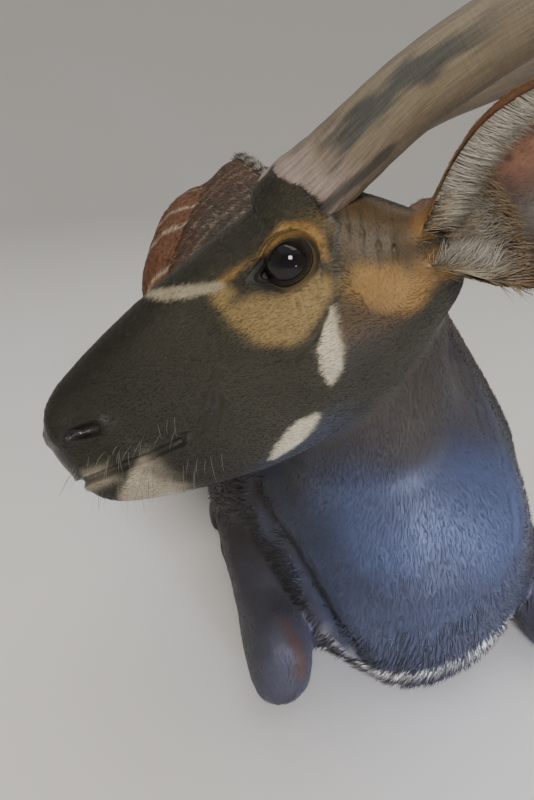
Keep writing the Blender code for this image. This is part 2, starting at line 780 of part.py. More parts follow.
def make_horn(name, side):
    """A horn that leans back, spreads and turns, with a keel that winds once round it."""
    rows = smooth_rows([(*p, r) for p, r in HORN_PATH], HORN_STEPS)
    centres = []
    for b, n, t, r in rows:
        share = min(max((b - 0.02) / 0.10, 0.0), 1.0)
        rise = 0.0 if side == LEFT else FAR_HORN_RISE * share * share * (3.0 - 2.0 * share)
        centres.append(on_head(-b, n + rise, t * side))
    rings = []
    for i, row in enumerate(rows):
        ahead = (centres[min(i + 1, HORN_STEPS)] - centres[max(i - 1, 0)]).normalized()
        nose, brow, left = head_axes()
        front = (brow - ahead * brow.dot(ahead)).normalized()
        out = front.cross(ahead).normalized()
        turn = side * HORN_TURNS * 2 * math.pi * i / HORN_STEPS
        ring = []
        for k in range(HORN_SIDES):
            angle = 2 * math.pi * k / HORN_SIDES
            keel = HORN_KEEL * max(0.0, math.cos(angle)) ** 6
            radius = row[3] * (0.94 + keel)
            x = radius * math.cos(angle)
            y = radius * math.sin(angle) * HORN_FLATTEN
            c, s = math.cos(turn), math.sin(turn)
            ring.append(centres[i] + front * (x * c - y * s) + out * (x * s + y * c))
        rings.append(ring)
    return loft(name, rings)


def make_hoof(name, place, toe, side, half):
    """One of the two toes of a hoof, flat on the floor and bluntly pointed."""
    x, y, z = place
    line = Vector((toe[0] * side, toe[1], toe[2])).normalized()
    level = Vector((line.x, line.y, 0.0)).normalized()
    across = Vector((abs(level.y), -level.x * math.copysign(1.0, level.y), 0.0))
    centre = Vector((x * side, y, 0.0)) + across * (half * (HOOF_HALF_WIDTH + 0.0012))
    rings = []
    rows = ((0.000, 0.86, 0.92, 0.80), (0.020, 1.00, 1.00, 0.90), (0.045, 0.98, 0.86, 0.80),
            (0.064, 0.74, 0.62, 0.58), (HOOF_LENGTH, 0.30, 0.34, 0.34))
    for along, width, height, middle in rows:
        ring = []
        for k in range(8):
            angle = 2 * math.pi * (k + 0.5) / 8
            w = HOOF_HALF_WIDTH * width * rounded(math.cos(angle), 2.6)
            h = HOOF_HALF_HEIGHT * height * (1.0 + rounded(math.sin(angle), 2.6))
            pull = -half * 0.006 * (along / HOOF_LENGTH) ** 2
            ring.append(centre + level * along + across * (w + pull) + Vector((0, 0, h - 0.0012)))
        rings.append(ring)
    return trim_floor(loft(name, rings))


def crest_locks(surface):
    """Short upright locks that lean back along the spine."""
    draw = random.Random(7)
    made = []
    y = CREST_START
    while y < CREST_END:
        top = height_at(surface, 0.0, y)
        x = 0.005 if draw.random() < 0.5 else -0.005
        lean = 0.75 + 0.2 * draw.random()
        root = Vector((x + 0.003 * (draw.random() - 0.5), y + 0.012 * draw.random(), top - 0.010))
        line = Vector((x * 6.0, lean, 0.80))
        length = CREST_LENGTH * (0.85 + 0.3 * draw.random())
        bend = Vector((0, 0.20, -0.10))
        made.append(lock(root, line, Vector((1, 0, 0)), length, 0.044, 0.008, bend, 2))
        y += CREST_STEP
    return made


def height_at(obj, x, y):
    hit, place, normal, index = obj.ray_cast(Vector((x, y, 2.0)), Vector((0, 0, -1)))
    return place.z if hit else 0.5


def tuft_locks():
    draw = random.Random(11)
    tip = Vector(TAIL[-1][0])
    line = tip - Vector(TAIL[-2][0])
    line.z = 0.0
    line.normalize()
    made = []
    for k in range(TUFT_LOCKS):
        angle = 2 * math.pi * k / TUFT_LOCKS
        spread = Vector((0, math.cos(angle) * 0.30, 0.05 + max(0.0, math.sin(angle) * 0.16)))
        root = tip - line * (0.022 + 0.012 * draw.random())
        root += Vector((0, math.cos(angle) * 0.005, math.sin(angle) * 0.003))
        length = TUFT_LENGTH * (0.75 + 0.3 * draw.random())
        bend = Vector((0.0, -0.20 + 0.10 * math.cos(angle), -0.01))
        made.append(lock(root, line + spread, Vector((0, 0, 1)), length, 0.022, 0.007, bend))
    return made


def fringe_locks(side):
    """White fringe that lies from the rims of the ear over its cup."""
    line, opening, width = ear_axes(side)
    draw = random.Random(3)
    front = -1.0 if side == LEFT else 1.0
    places = [(front, 0.06 + 0.74 * k / (FRONT_LOCKS - 1)) for k in range(FRONT_LOCKS)]
    places += [(-front, 0.04 + 0.34 * k / (LOWER_LOCKS - 1)) for k in range(LOWER_LOCKS)]
    made = []
    for edge, share in places:
        root = ear_point(side, share, edge * 0.95, EAR_THICKNESS * 0.4)
        inward = (ear_point(side, share, 0.0, 0.0) - root).normalized()
        aim = inward * 0.62 + line * 0.55 + opening * 0.42
        length = 0.044 * (0.85 + 0.3 * draw.random()) * (1.0 - 0.35 * share)
        made.append(lock(root, aim, opening, length, 0.021, 0.0034, line * 0.18, 2))
    return made


def paint(obj, look):
    obj.data.materials.clear()
    obj.data.materials.append(look)
    obj.data.shade_smooth()
    obj.data.set_sharp_from_angle(angle=math.radians(40))


def build():
    clear_scene()
    chestnut = material("chestnut_coat", (0.16, 0.066, 0.030), 0.62)
    dark_coat = material("dark_coat", (0.030, 0.020, 0.016), 0.58)
    face_coat = material("face_coat", (0.050, 0.032, 0.024), 0.58)
    leg_coat = material("leg_coat", (0.026, 0.020, 0.018), 0.58)
    ear_coat = material("ear_coat", (0.22, 0.12, 0.075), 0.65)
    horn_surface = material("horn_surface", (0.115, 0.090, 0.074), 0.48)
    hoof_surface = material("hoof_surface", (0.022, 0.019, 0.018), 0.42)
    eye_surface = material("eye_surface", (0.010, 0.008, 0.008), 0.06)

    nodes = {}
    body = make_body_flesh("torso", 0.012, 7, 2700)
    trim_floor(body)
    neck = body.copy()
    neck.data = body.data.copy()
    neck.name = "neck"
    bpy.context.scene.collection.objects.link(neck)
    keep_side(body, NECK_BASE_POINT, -NECK_BASE_AXIS, GAP)
    keep_side(neck, NECK_BASE_POINT, NECK_BASE_AXIS, GAP)

    head = make_head_flesh("head", 0.0040, 4, 2600)
    keep_side(head, HEAD_CUT_POINT, HEAD_CUT_AXIS, GAP)
    keep_side(neck, HEAD_CUT_POINT, -HEAD_CUT_AXIS, GAP)
    for side in (RIGHT, LEFT):
        fuse(head, [eyelids(side)])
    for side, word in ((RIGHT, "right"), (LEFT, "left")):
        eye = make_eye("eye_" + word, side)
        seat(head, eye)
        nodes[eye.name] = (eye, eye_surface)
        cutter = nostril(side)
        boolean(head, cutter, "DIFFERENCE", "MANIFOLD")
        bpy.data.objects.remove(cutter, do_unlink=True)
    line, core = mouth_line(), mouth_core()
    boolean(line, core, "DIFFERENCE", "MANIFOLD")
    boolean(head, line, "DIFFERENCE", "MANIFOLD")
    for helper in (line, core):
        bpy.data.objects.remove(helper, do_unlink=True)
    largest(head)

    for side, word in ((RIGHT, "right"), (LEFT, "left")):
        horn = make_horn("horn_" + word, side)
        seat(horn, head)
        nodes[horn.name] = (horn, horn_surface)
        ear = make_ear("ear_" + word, side)
        fuse(ear, fringe_locks(side))
        for neighbour in (head, neck, horn):
            seat(ear, neighbour, 0.0008)
        nodes[ear.name] = (ear, ear_coat)

    for side, word in ((RIGHT, "right"), (LEFT, "left")):
        forearm = limb("foreleg_" + word + "_forearm", flat_rows(FOREARM, side), 12, 11)
        cannon = limb("foreleg_" + word + "_cannon", flat_rows(FORE_CANNON, side), 10, 10)
        seat(cannon, forearm)
        seat(body, forearm, 0.0009)
        seat(body, cannon, 0.0009)
        trim_floor(forearm)
        trim_floor(cannon)
        nodes[forearm.name] = (forearm, leg_coat)
        nodes[cannon.name] = (cannon, leg_coat)
        for half, place in ((-1, "inner"), (1, "outer")):
            hoof = make_hoof("hoof_fore_" + word + "_" + place, *FORE_HOOF, side, half * side)
            seat(hoof, cannon)
            seat(body, hoof, 0.0012)
            nodes[hoof.name] = (hoof, hoof_surface)

        lift = RIGHT_THIGH_LIFT if side == RIGHT else 0.0
        out = RIGHT_THIGH_OUT if side == RIGHT else 0.0
        thigh = limb("hindleg_" + word + "_thigh", flat_rows(THIGH, side, lift, out), 14, 9)
        shank = limb("hindleg_" + word + "_shank", flat_rows(SHANK, side), 12, 10)
        seat(shank, thigh)
        cannon = limb("hindleg_" + word + "_cannon", flat_rows(HIND_CANNON, side), 10, 10)
        seat(cannon, shank)
        seat(body, thigh, 0.0009)
        seat(body, shank, 0.0009)
        seat(body, cannon, 0.0009)
        trim_floor(shank)
        trim_floor(cannon)
        nodes[thigh.name] = (thigh, chestnut)
        nodes[shank.name] = (shank, chestnut)
        nodes[cannon.name] = (cannon, leg_coat)
        for half, place in ((-1, "inner"), (1, "outer")):
            hoof = make_hoof("hoof_hind_" + word + "_" + place, *HIND_HOOF, side, half * side)
            seat(hoof, cannon)
            seat(body, hoof, 0.0012)
            nodes[hoof.name] = (hoof, hoof_surface)

    tail = limb("tail", flat_rows(TAIL), 8, 14)
    fuse(tail, tuft_locks())
    seat(tail, body)
    nodes["tail"] = (tail, chestnut)
    fuse(body, crest_locks(body))
    nodes["torso"] = (body, chestnut)
    nodes["neck"] = (neck, dark_coat)
    nodes["head"] = (head, face_coat)

    for obj, look in nodes.values():
        paint(obj, look)
    centre_on_floor([obj for obj, look in nodes.values()])


def centre_on_floor(objects):
    """Moves the whole animal so that its box stands centred on the origin."""
    points = [v.co for obj in objects for v in obj.data.vertices]
    low = Vector(min(p[i] for p in points) for i in range(3))
    high = Vector(max(p[i] for p in points) for i in range(3))
    shift = Matrix.Translation((-(low.x + high.x) / 2, -(low.y + high.y) / 2, -low.z))
    for obj in objects:
        obj.data.transform(shift)


build()
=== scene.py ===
"""Looks of a life-size bull bongo antelope that lies at rest with its head turned to its right.
One skin covers the flesh, short fur lies over it, and horns, eyes and hooves stay separate."""

import math

import bmesh
import bpy
import numpy as np
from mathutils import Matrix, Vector
from mathutils.bvhtree import BVHTree


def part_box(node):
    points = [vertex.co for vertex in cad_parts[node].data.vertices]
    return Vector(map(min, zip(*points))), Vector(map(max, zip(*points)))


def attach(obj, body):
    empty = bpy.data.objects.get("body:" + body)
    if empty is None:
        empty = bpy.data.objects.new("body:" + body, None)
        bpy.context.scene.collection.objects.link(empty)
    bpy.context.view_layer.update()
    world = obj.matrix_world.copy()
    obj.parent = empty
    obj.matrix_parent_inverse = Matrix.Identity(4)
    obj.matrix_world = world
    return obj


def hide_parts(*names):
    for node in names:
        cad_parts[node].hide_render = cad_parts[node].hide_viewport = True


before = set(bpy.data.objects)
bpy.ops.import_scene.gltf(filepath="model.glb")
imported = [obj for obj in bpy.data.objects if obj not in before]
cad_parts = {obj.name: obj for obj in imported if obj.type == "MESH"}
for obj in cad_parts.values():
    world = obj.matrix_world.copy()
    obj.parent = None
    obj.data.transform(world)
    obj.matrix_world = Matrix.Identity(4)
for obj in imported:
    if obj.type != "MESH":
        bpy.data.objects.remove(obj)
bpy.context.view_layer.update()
RIGHT, LEFT = -1, 1
SIDES = ((RIGHT, "right"), (LEFT, "left"))

# The head's own frame, as in the part: a towards the nose, n out of the forehead, t to its left.
HEAD_TURN = math.radians(94.5)
HEAD_DROP = math.radians(41.0)
HEAD_ROLL = math.radians(24.0)
HEAD_FROM_ORIGIN = np.array((-0.1668, 0.0712, 0.5323))

# Eyes: ball, how far out it sits, and how far its opening reaches from the middle.
EYE_RADIUS = 0.023
EYE_SIDE = 0.0525
EYE_FRONT, EYE_BACK, EYE_UP, EYE_DOWN = 0.0182, 0.0170, 0.0150, 0.0150
TEAR_ANGLE, TEAR_PULL, TEAR_WIDTH = math.radians(20.0), 0.56, 0.34
# Lids, from the wet rim outwards: share of the opening, height over the ball or skin, share of skin.
LID_PROFILE = (
    (0.960, -0.0012, 0.00), (0.980, 0.0000, 0.00), (1.000, 0.0009, 0.00), (1.030, 0.0015, 0.03),
    (1.080, 0.0017, 0.12), (1.150, 0.0015, 0.26), (1.220, 0.0010, 0.42), (1.310, 0.0014, 0.58),
    (1.400, 0.0011, 0.72), (1.480, 0.0002, 0.84), (1.570, 0.0006, 0.94), (1.700, -0.0006, 1.00),
    (1.860, -0.0030, 1.00), (1.300, -0.0050, 0.60), (0.980, -0.0050, 0.00),
)
LID_STEPS, LID_ROUNDS = 112, 3
LASHES, LASH_LENGTH = 90, 0.0085
FRINGE_HAIRS, FOOT_HAIRS, SWIRL_HAIRS = 5200, 1400, 2200

# Least height over the floor, and a distance past every form, for points that a form leaves out.
FLOOR_GAP, FAR = 0.0008, 9.0
# How far the flesh is swelled before it is remeshed, so that the gaps between nodes close.
SWELL = 0.0012
SKIN_CELL = 0.0034
SKIN_TRIANGLES, HEAD_SHARE = 66000, 0.66

# Depth of the coat over the skin, by region.
COAT_DEPTH = {
    "head": 0.0012, "ear": 0.0006, "neck": 0.0032, "trunk": 0.0045,
    "fore": 0.0022, "hind": 0.0030, "cannon": 0.0014, "tail": 0.0015,
}
REGIONS = tuple(COAT_DEPTH)
# Pieces of the coat: name, regions and their least weight, number of pieces, then tufts in a
# square metre of each, their length, width, lift and turn, the first seed and the slot.
COAT_PIECES = (
    ("head", ("head",), 0.40, 2, 205000, 0.0062, 0.00085, 0.0008, 0.13, 31, "face_coat"),
    ("neck", ("neck",), 0.30, 2, 135000, 0.0103, 0.00095, 0.0009, 0.16, 41, "dark_coat"),
    ("trunk", ("trunk",), 0.30, 3, 13400, 0.0250, 0.00260, 0.0024, 0.16, 51, "chestnut_coat"),
    ("limbs", ("hind", "tail"), 0.35, 1, 40000, 0.0160, 0.00190, 0.0014, 0.16, 61, "chestnut_coat"),
    ("forelegs", ("fore",), 0.35, 1, 130000, 0.0085, 0.00110, 0.0007, 0.16, 65, "leg_coat"),
    ("cannons", ("cannon",), 0.35, 1, 80000, 0.0090, 0.00120, 0.0007, 0.16, 71, "leg_coat"),
    ("ears", ("ear",), 0.35, 1, 110000, 0.0060, 0.00090, 0.0005, 0.16, 81, "ear_coat"),
)
# Half width of a tuft's patch on the map, the luck that stands for bare skin, and how dark roots are.
PATCH, SKIN_LUCK, ROOT_SHADE = 0.0015, 0.5, 0.72
# The lie of the coat by node, as a direction in the row frame.
COAT_LIE = {
    "torso": (0.0, 1.0, -0.42), "neck": (0.16, 0.34, -0.90), "tail": (0.05, 0.25, -1.0),
    "forearm": (0.05, -1.0, -0.35), "cannon_fore": (0.0, 1.0, -0.1), "thigh": (0.25, -0.55, -0.75),
    "shank": (0.1, 0.95, -0.45), "cannon_hind": (0.06, -1.0, -0.1),
}

# Furred foot of the horns: it ends on a plane a = first + second * n + third * t, stands out by rise.
CUFF_PLANE = (-0.0125, 0.186, -0.497)
CUFF_RISE, CUFF_STEPS, CUFF_SIDES, CUFF_LEAST = 0.0046, 10, 40, 14

# Nostril: places along its slit from the front, half width and depth. Mouth: its line as a, n.
NOSTRIL = ((0.288, 0.034, 0.026), (0.276, 0.026, 0.036), (0.258, 0.018, 0.044), (0.238, 0.008, 0.048))
NOSTRIL_HALF, NOSTRIL_DEPTH = 0.0042, 0.0085
MOUTH = ((0.330, -0.014), (0.285, -0.023), (0.250, -0.034), (0.215, -0.046), (0.184, -0.054))
MOUTH_HALF, MOUTH_DEPTH = 0.0020, 0.0048

# Folds of the skin, the same on both sides: depth, half width, then places as a, n, t.
FOLDS = (
    (0.0009, 0.0012, ((0.012, -0.021, 0.070), (0.018, -0.034, 0.067), (0.026, -0.051, 0.064))),
    (0.0007, 0.0011, ((-0.004, -0.021, 0.070), (-0.006, -0.030, 0.068), (0.000, -0.040, 0.067))),
    (0.0007, 0.0011, ((-0.018, -0.018, 0.070), (-0.012, -0.030, 0.069), (0.002, -0.046, 0.067))),
    (0.0018, 0.0020, ((0.004, -0.055, 0.066), (0.025, -0.062, 0.065), (0.050, -0.067, 0.063))),
    (0.0022, 0.0036, ((0.184, -0.055, 0.044), (0.160, -0.056, 0.046), (0.143, -0.055, 0.047),
                      (0.130, -0.047, 0.050))),
    (0.0012, 0.0028, ((0.150, -0.068, 0.044), (0.138, -0.060, 0.047), (0.126, -0.046, 0.050))),
    (0.0010, 0.0024, ((0.146, -0.041, 0.048), (0.126, -0.034, 0.050), (0.112, -0.026, 0.053))),
)
# Soft folds between horn and ear, and the direction in which the hair lies there.
NECKLINE_FOLDS = (
    ((-0.067, 0.006, 0.061), (-0.056, -0.010, 0.069), (-0.045, -0.028, 0.072)),
    ((-0.074, -0.003, 0.063), (-0.060, -0.023, 0.071), (-0.042, -0.050, 0.072)),
    ((-0.082, -0.013, 0.063), (-0.063, -0.040, 0.072), (-0.040, -0.071, 0.070)),
    ((-0.089, -0.025, 0.064), (-0.071, -0.050, 0.072), (-0.053, -0.076, 0.069)),
)
# Half widths from end to end of each fold. Below zero the painted shade stays faint.
NECKLINE_HALF = (-0.0003, 0.0015, -0.0003)
NECKLINE_LIE = (0.46, -0.88, 0.05)
# Fine folds of the upper lid, as shares of the eye's opening: share, from angle, to angle, depth.
LID_LINES = ((1.62, -0.30, 2.70, 0.0008), (1.86, -0.10, 1.60, 0.0007), (1.66, -1.60, -0.80, 0.0006))
# The raised edge behind the eye, from the horn down to the white spot.
RIDGE = ((-0.052, 0.010, 0.067), (-0.049, -0.003, 0.069), (-0.033, -0.018, 0.071),
         (-0.016, -0.035, 0.070), (-0.001, -0.056, 0.066))
RIDGE_HEIGHT, RIDGE_HALF = 0.0016, 0.0034

# Marks of the face as places a, n, t, each with its half width.
CHEVRON = ((0.134, 0.077, 0.006), (0.124, 0.072, 0.014), (0.108, 0.061, 0.034), (0.088, 0.046, 0.044),
           (0.066, 0.031, 0.052), (0.056, 0.025, 0.054))
CHEVRON_HALF = (0.0020, 0.0046, 0.0062, 0.0064, 0.0046, 0.0016)
UPPER_SPOT = ((-0.003, -0.053, 0.067), (0.009, -0.064, 0.067), (0.022, -0.079, 0.066),
              (0.032, -0.092, 0.064), (0.041, -0.102, 0.061))
UPPER_SPOT_HALF = (0.0012, 0.0062, 0.0104, 0.0092, 0.0030)
LOWER_SPOT = ((0.133, -0.123, 0.024), (0.118, -0.121, 0.031), (0.103, -0.120, 0.036),
              (0.087, -0.118, 0.040), (0.072, -0.117, 0.042))
LOWER_SPOT_HALF = (0.0030, 0.0078, 0.0100, 0.0096, 0.0040)
# Edge of the breast over the right shoulder, and folds of the neck, as places in the row frame.
BREAST_EDGE = ((-0.194, 0.170, 0.225), (-0.186, 0.128, 0.196), (-0.172, 0.084, 0.190),
               (-0.160, 0.052, 0.172), (-0.148, 0.030, 0.150), (-0.132, 0.012, 0.118),
               (-0.110, -0.002, 0.088))
NECK_FOLDS = (((0.102, 0.093, 0.330), (0.086, 0.030, 0.290), (0.080, -0.004, 0.236)),
              ((0.092, 0.215, 0.404), (0.074, 0.131, 0.371), (0.070, 0.068, 0.334)),
              ((0.120, 0.110, 0.300), (0.112, 0.045, 0.250), (0.108, 0.010, 0.200)))
CRESCENT = ((-0.140, 0.028, 0.112), (-0.124, 0.016, 0.082), (-0.103, 0.004, 0.060),
            (-0.069, -0.010, 0.046), (-0.025, -0.023, 0.048), (0.030, -0.025, 0.060),
            (0.080, -0.010, 0.086), (0.135, 0.010, 0.122))
CRESCENT_HALF = (0.003, 0.008, 0.011, 0.013, 0.013, 0.012, 0.010, 0.006)
KNEE_STREAK = ((-0.188, 0.045, 0.140), (-0.176, 0.014, 0.120), (-0.170, -0.004, 0.085))
KNEE_STREAK_HALF = (0.004, 0.008, 0.010)
STRIPES, STRIPE_PITCH = 12, 0.082
LIGHT_LINE = ((0.066, 0.030, 0.050), (0.035, 0.026, 0.058), (0.009, 0.021, 0.069),
              (-0.013, 0.022, 0.069), (-0.028, 0.012, 0.067), (-0.030, -0.002, 0.069),
              (-0.024, -0.020, 0.070))
DARK_STRIPE = ((0.070, 0.064, 0.024), (0.036, 0.049, 0.043), (0.011, 0.042, 0.050), (-0.008, 0.036, 0.064))
OCHRE_LINE = ((0.064, 0.020, 0.053), (0.058, -0.004, 0.058), (0.050, -0.022, 0.061),
              (0.034, -0.036, 0.064), (0.014, -0.036, 0.067), (-0.006, -0.034, 0.069))
OCHRE_HALF = (0.010, 0.017, 0.021, 0.021, 0.017, 0.011)
GOLD_LINE = ((-0.036, -0.056, 0.069), (-0.048, -0.074, 0.067), (-0.058, -0.088, 0.060),
             (-0.088, -0.080, 0.062))

# Ear: the same cup as the part's, finer. Its root as a, n, t, its line and its opening.
EAR_ROOT = (-0.092, -0.066, 0.050)
EAR_LINES = {LEFT: (0.624, -0.604, 0.496), RIGHT: (0.14, 0.96, -0.12)}
EAR_OPENINGS = {LEFT: (-0.652, -0.752, -0.098), RIGHT: (-0.80, 0.35, 0.35)}
EAR_LENGTH = 0.225
EAR_THICKNESS = 0.0046
EAR_STEPS, EAR_SPAN = 70, 56
EAR_CUP = (
    (0.00, 0.024, 160), (0.10, 0.034, 140), (0.22, 0.054, 110), (0.36, 0.073, 86),
    (0.52, 0.083, 69), (0.68, 0.079, 59), (0.82, 0.060, 51), (0.93, 0.035, 44), (1.00, 0.009, 36),
)
FRINGE_LENGTH, BASE_TUFT_LENGTH = 0.036, 0.026

# Horn: distance back, up and out from the eyes' middle, half thickness, for the left side.
# The far horn rises a little more, so that it stays behind the near one.
HORN_PATH = (
    (0.018, 0.036, 0.031, 0.0350), (0.042, 0.038, 0.045, 0.0385), (0.080, 0.035, 0.058, 0.0385),
    (0.122, 0.033, 0.070, 0.0370), (0.165, 0.029, 0.081, 0.0340), (0.220, 0.018, 0.096, 0.0295),
    (0.300, -0.006, 0.122, 0.0245), (0.400, -0.034, 0.150, 0.0212), (0.500, -0.020, 0.156, 0.0172),
    (0.590, 0.022, 0.142, 0.0134), (0.660, 0.068, 0.130, 0.0092), (0.708, 0.106, 0.132, 0.0050),
    (0.726, 0.121, 0.135, 0.0022),
)
HORN_STEPS, HORN_SIDES = 380, 112
HORN_TURNS, HORN_KEEL, HORN_FLATTEN = 0.95, 0.14, 0.86
FAR_HORN_RISE = 0.030

# Crest along the spine and the tuft of the tail.
CREST_START, CREST_END, CREST_HAIRS, CREST_HALF = 0.44, 1.38, 4400, 0.011
TAIL_TIP = np.array((0.150, 1.542, 0.016))
TUFT_HAIRS, TUFT_LENGTH = 1500, 0.130

# Camera and stage.
CAMERA_PLACE = (-0.3165, -0.4776, 0.66)
CAMERA_YAW = math.radians(12.5)
CAMERA_PITCH = math.radians(25.0)
CAMERA_LENS = 27.0
STAGE_RADIUS, STAGE_HEIGHT, STAGE_CURVE = 6.0, 6.0, 2.5

# Colours of coat, horn and skin.
CHESTNUT = (0.165, 0.066, 0.029)
CHESTNUT_DARK = (0.070, 0.034, 0.020)
BLACK_BROWN = (0.020, 0.016, 0.014)
# Black coat under painted bluish light, on the lower neck and chest and under the jaw.
BLACK_IN_PAINTED_BLUE_LIGHT = (0.046, 0.060, 0.104)
# Darker navy for the breast, where the painted bluish light grows dim.
BREAST_DIM_PAINTED_LIGHT = (0.020, 0.022, 0.034)
NAPE_BROWN = (0.052, 0.040, 0.026)
WITHERS = (0.062, 0.050, 0.030)
KNEE_GREY = (0.044, 0.043, 0.056)
FACE_BROWN = (0.034, 0.031, 0.021)
FACE_TIPS = (0.150, 0.125, 0.075)
FACE_WHITE = (0.50, 0.44, 0.31)
CHEVRON_CREAM = (0.29, 0.255, 0.175)
BROW_BLACK = (0.013, 0.011, 0.008)
MUZZLE_BLACK = (0.022, 0.020, 0.015)
OCHRE = (0.250, 0.172, 0.070)
GOLD = (0.270, 0.158, 0.050)
BROWN = (0.080, 0.052, 0.025)
WHITE = (0.66, 0.61, 0.52)
CREAM = (0.43, 0.37, 0.27)
EAR_PINK = (0.230, 0.112, 0.072)
EAR_DARK = (0.026, 0.018, 0.012)
EAR_RIM = (0.165, 0.082, 0.034)
WET_BLACK = (0.012, 0.010, 0.010)
# Painted shade deep inside the nostril's slit.
NOSTRIL_PAINTED_SHADE = (0.004, 0.003, 0.003)
LASH_BLACK = (0.008, 0.007, 0.007)
EAR_GREY = (0.38, 0.35, 0.29)
EYE_BROWN, EYE_RING = (0.0075, 0.0060, 0.0055), (0.022, 0.015, 0.011)
EYE_BLACK, PUPIL_BLACK = (0.003, 0.003, 0.003), (0.003, 0.003, 0.006)
HORN_TAN, HORN_FOOT, HORN_EDGE = (0.170, 0.135, 0.092), (0.270, 0.210, 0.185), (0.085, 0.064, 0.044)
HORN_BAND, HORN_LOW_BAND = (0.040, 0.042, 0.038), (0.045, 0.043, 0.040)
HORN_END, HORN_TIP = (0.105, 0.086, 0.080), (0.26, 0.22, 0.16)
HOOF_DARK, HOOF_LIGHT = (0.014, 0.012, 0.011, 1.0), (0.055, 0.045, 0.038, 1.0)
FLOOR_PALE = (0.70, 0.685, 0.66, 1.0)


def unit(vector):
    vector = np.asarray(vector, float)
    return vector / np.maximum(np.linalg.norm(vector, axis=-1, keepdims=True), 1e-9)


def box_middle(node):
    low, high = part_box(node)
    return np.array((low + high) / 2)


def head_axes():
    forward = np.array((-math.sin(HEAD_TURN), -math.cos(HEAD_TURN), 0.0))
    up = np.array((0.0, 0.0, 1.0))
    nose = forward * math.cos(HEAD_DROP) - up * math.sin(HEAD_DROP)
    brow = forward * math.sin(HEAD_DROP) + up * math.cos(HEAD_DROP)
    side = np.cross(nose, brow)
    brow = brow * math.cos(HEAD_ROLL) + side * math.sin(HEAD_ROLL)
    return nose, brow, np.cross(brow, nose)


EYES = {LEFT: box_middle("eye_left"), RIGHT: box_middle("eye_right")}
HEAD_MIDDLE = (EYES[LEFT] + EYES[RIGHT]) / 2
ORIGIN = HEAD_MIDDLE - HEAD_FROM_ORIGIN
NOSE, BROW, HEAD_LEFT = head_axes()
HEAD_FRAME = np.array((NOSE, BROW, HEAD_LEFT))


def on_head(a, n, t):
    return HEAD_MIDDLE + NOSE * a + BROW * n + HEAD_LEFT * t


def to_head(points):
    return (points - HEAD_MIDDLE) @ HEAD_FRAME.T


def from_head(local):
    return HEAD_MIDDLE + local @ HEAD_FRAME


def ease(low, high, value):
    share = np.clip((value - low) / (high - low), 0.0, 1.0)
    return share * share * (3.0 - 2.0 * share)


def bump_at(value, middle, half):
    return np.exp(-((value - middle) / half) ** 2)


def ripple(points, size, seed, waves=7):
    """Smooth irregular variation from -1 to 1, with bumps about as long as size."""
    draw = np.random.default_rng(seed)
    total = np.zeros(len(points))
    for _ in range(waves):
        way = unit(draw.normal(size=3)) * (2 * math.pi / size) * draw.uniform(0.6, 1.5)
        total += np.sin(points @ way + draw.uniform(0, 2 * math.pi))
    return total / waves * 1.6


def smooth_rows(rows, steps):
    """Rows of numbers resampled along a smooth curve through all of them."""
    rows = np.array(rows, float)
    place = np.linspace(0, len(rows) - 1, steps + 1)
    i = np.minimum(place.astype(int), len(rows) - 2)
    u = (place - i)[:, None]
    p0, p1, p2 = rows[np.maximum(i - 1, 0)], rows[i], rows[i + 1]
    p3 = rows[np.minimum(i + 2, len(rows) - 1)]
    return 0.5 * (2 * p1 + (p2 - p0) * u + (2 * p0 - 5 * p1 + 4 * p2 - p3) * u * u
                  + (3 * p1 - p0 - 3 * p2 + p3) * u ** 3)


def distance_to(points, path, halves=None):
    """Distance to a line of places, less the line's own half width where it has one."""
    path = np.array(path, float)
    halves = np.zeros(len(path)) if halves is None else np.array(halves, float)
    best = np.full(len(points), FAR)
    for i in range(len(path) - 1):
        way = path[i + 1] - path[i]
        share = np.clip(((points - path[i]) @ way) / max(way @ way, 1e-12), 0, 1)
        away = np.linalg.norm(points - path[i] - share[:, None] * way, axis=1)
        best = np.minimum(best, away - halves[i] - share * (halves[i + 1] - halves[i]))
    return best


def link(name, mesh):
    obj = bpy.data.objects.new(name, mesh)
    bpy.context.scene.collection.objects.link(obj)
    return obj


def select_only(*objects):
    bpy.ops.object.select_all(action="DESELECT")
    for obj in objects:
        obj.select_set(True)
    bpy.context.view_layer.objects.active = objects[0]


def apply_modifiers(obj):
    select_only(obj)
    for step in list(obj.modifiers):
        bpy.ops.object.modifier_apply(modifier=step.name)


def mesh_from_arrays(name, points, faces):
    """A mesh object from arrays of points and of triangles or quads."""
    faces = np.asarray(faces, np.int32)
    sides = faces.shape[1]
    mesh = bpy.data.meshes.new(name)
    mesh.vertices.add(len(points))
    mesh.vertices.foreach_set("co", np.asarray(points, np.float32).ravel())
    mesh.loops.add(faces.size)
    mesh.loops.foreach_set("vertex_index", faces.ravel())
    mesh.polygons.add(len(faces))
    mesh.polygons.foreach_set("loop_start", np.arange(0, faces.size, sides, dtype=np.int32))
    mesh.update(calc_edges=True)
    mesh.shade_smooth()
    return link(name, mesh)


def grid_faces(rows, columns, ring_columns, ring_rows=False):
    """Quads between rows of points. Columns and rows join up where they go round a ring."""
    faces = []
    for i in range(rows if ring_rows else rows - 1):
        low, high = i * columns, (i + 1) % rows * columns
        for j in range(columns if ring_columns else columns - 1):
            k = (j + 1) % columns
            faces.append((low + j, low + k, high + k, high + j))
    return faces


def vertex_array(mesh, what="co"):
    values = np.empty(len(mesh.vertices) * 3, np.float32)
    if what == "co":
        mesh.vertices.foreach_get("co", values)
    else:
        mesh.vertex_normals.foreach_get("vector", values)
    return values.reshape(-1, 3).astype(float)


def face_centres(mesh):
    values = np.empty(len(mesh.polygons) * 3, np.float32)
    mesh.polygons.foreach_get("center", values)
    return values.reshape(-1, 3).astype(float)


def store_points(mesh, points):
    mesh.vertices.foreach_set("co", points.astype(np.float32).ravel())
    mesh.update()


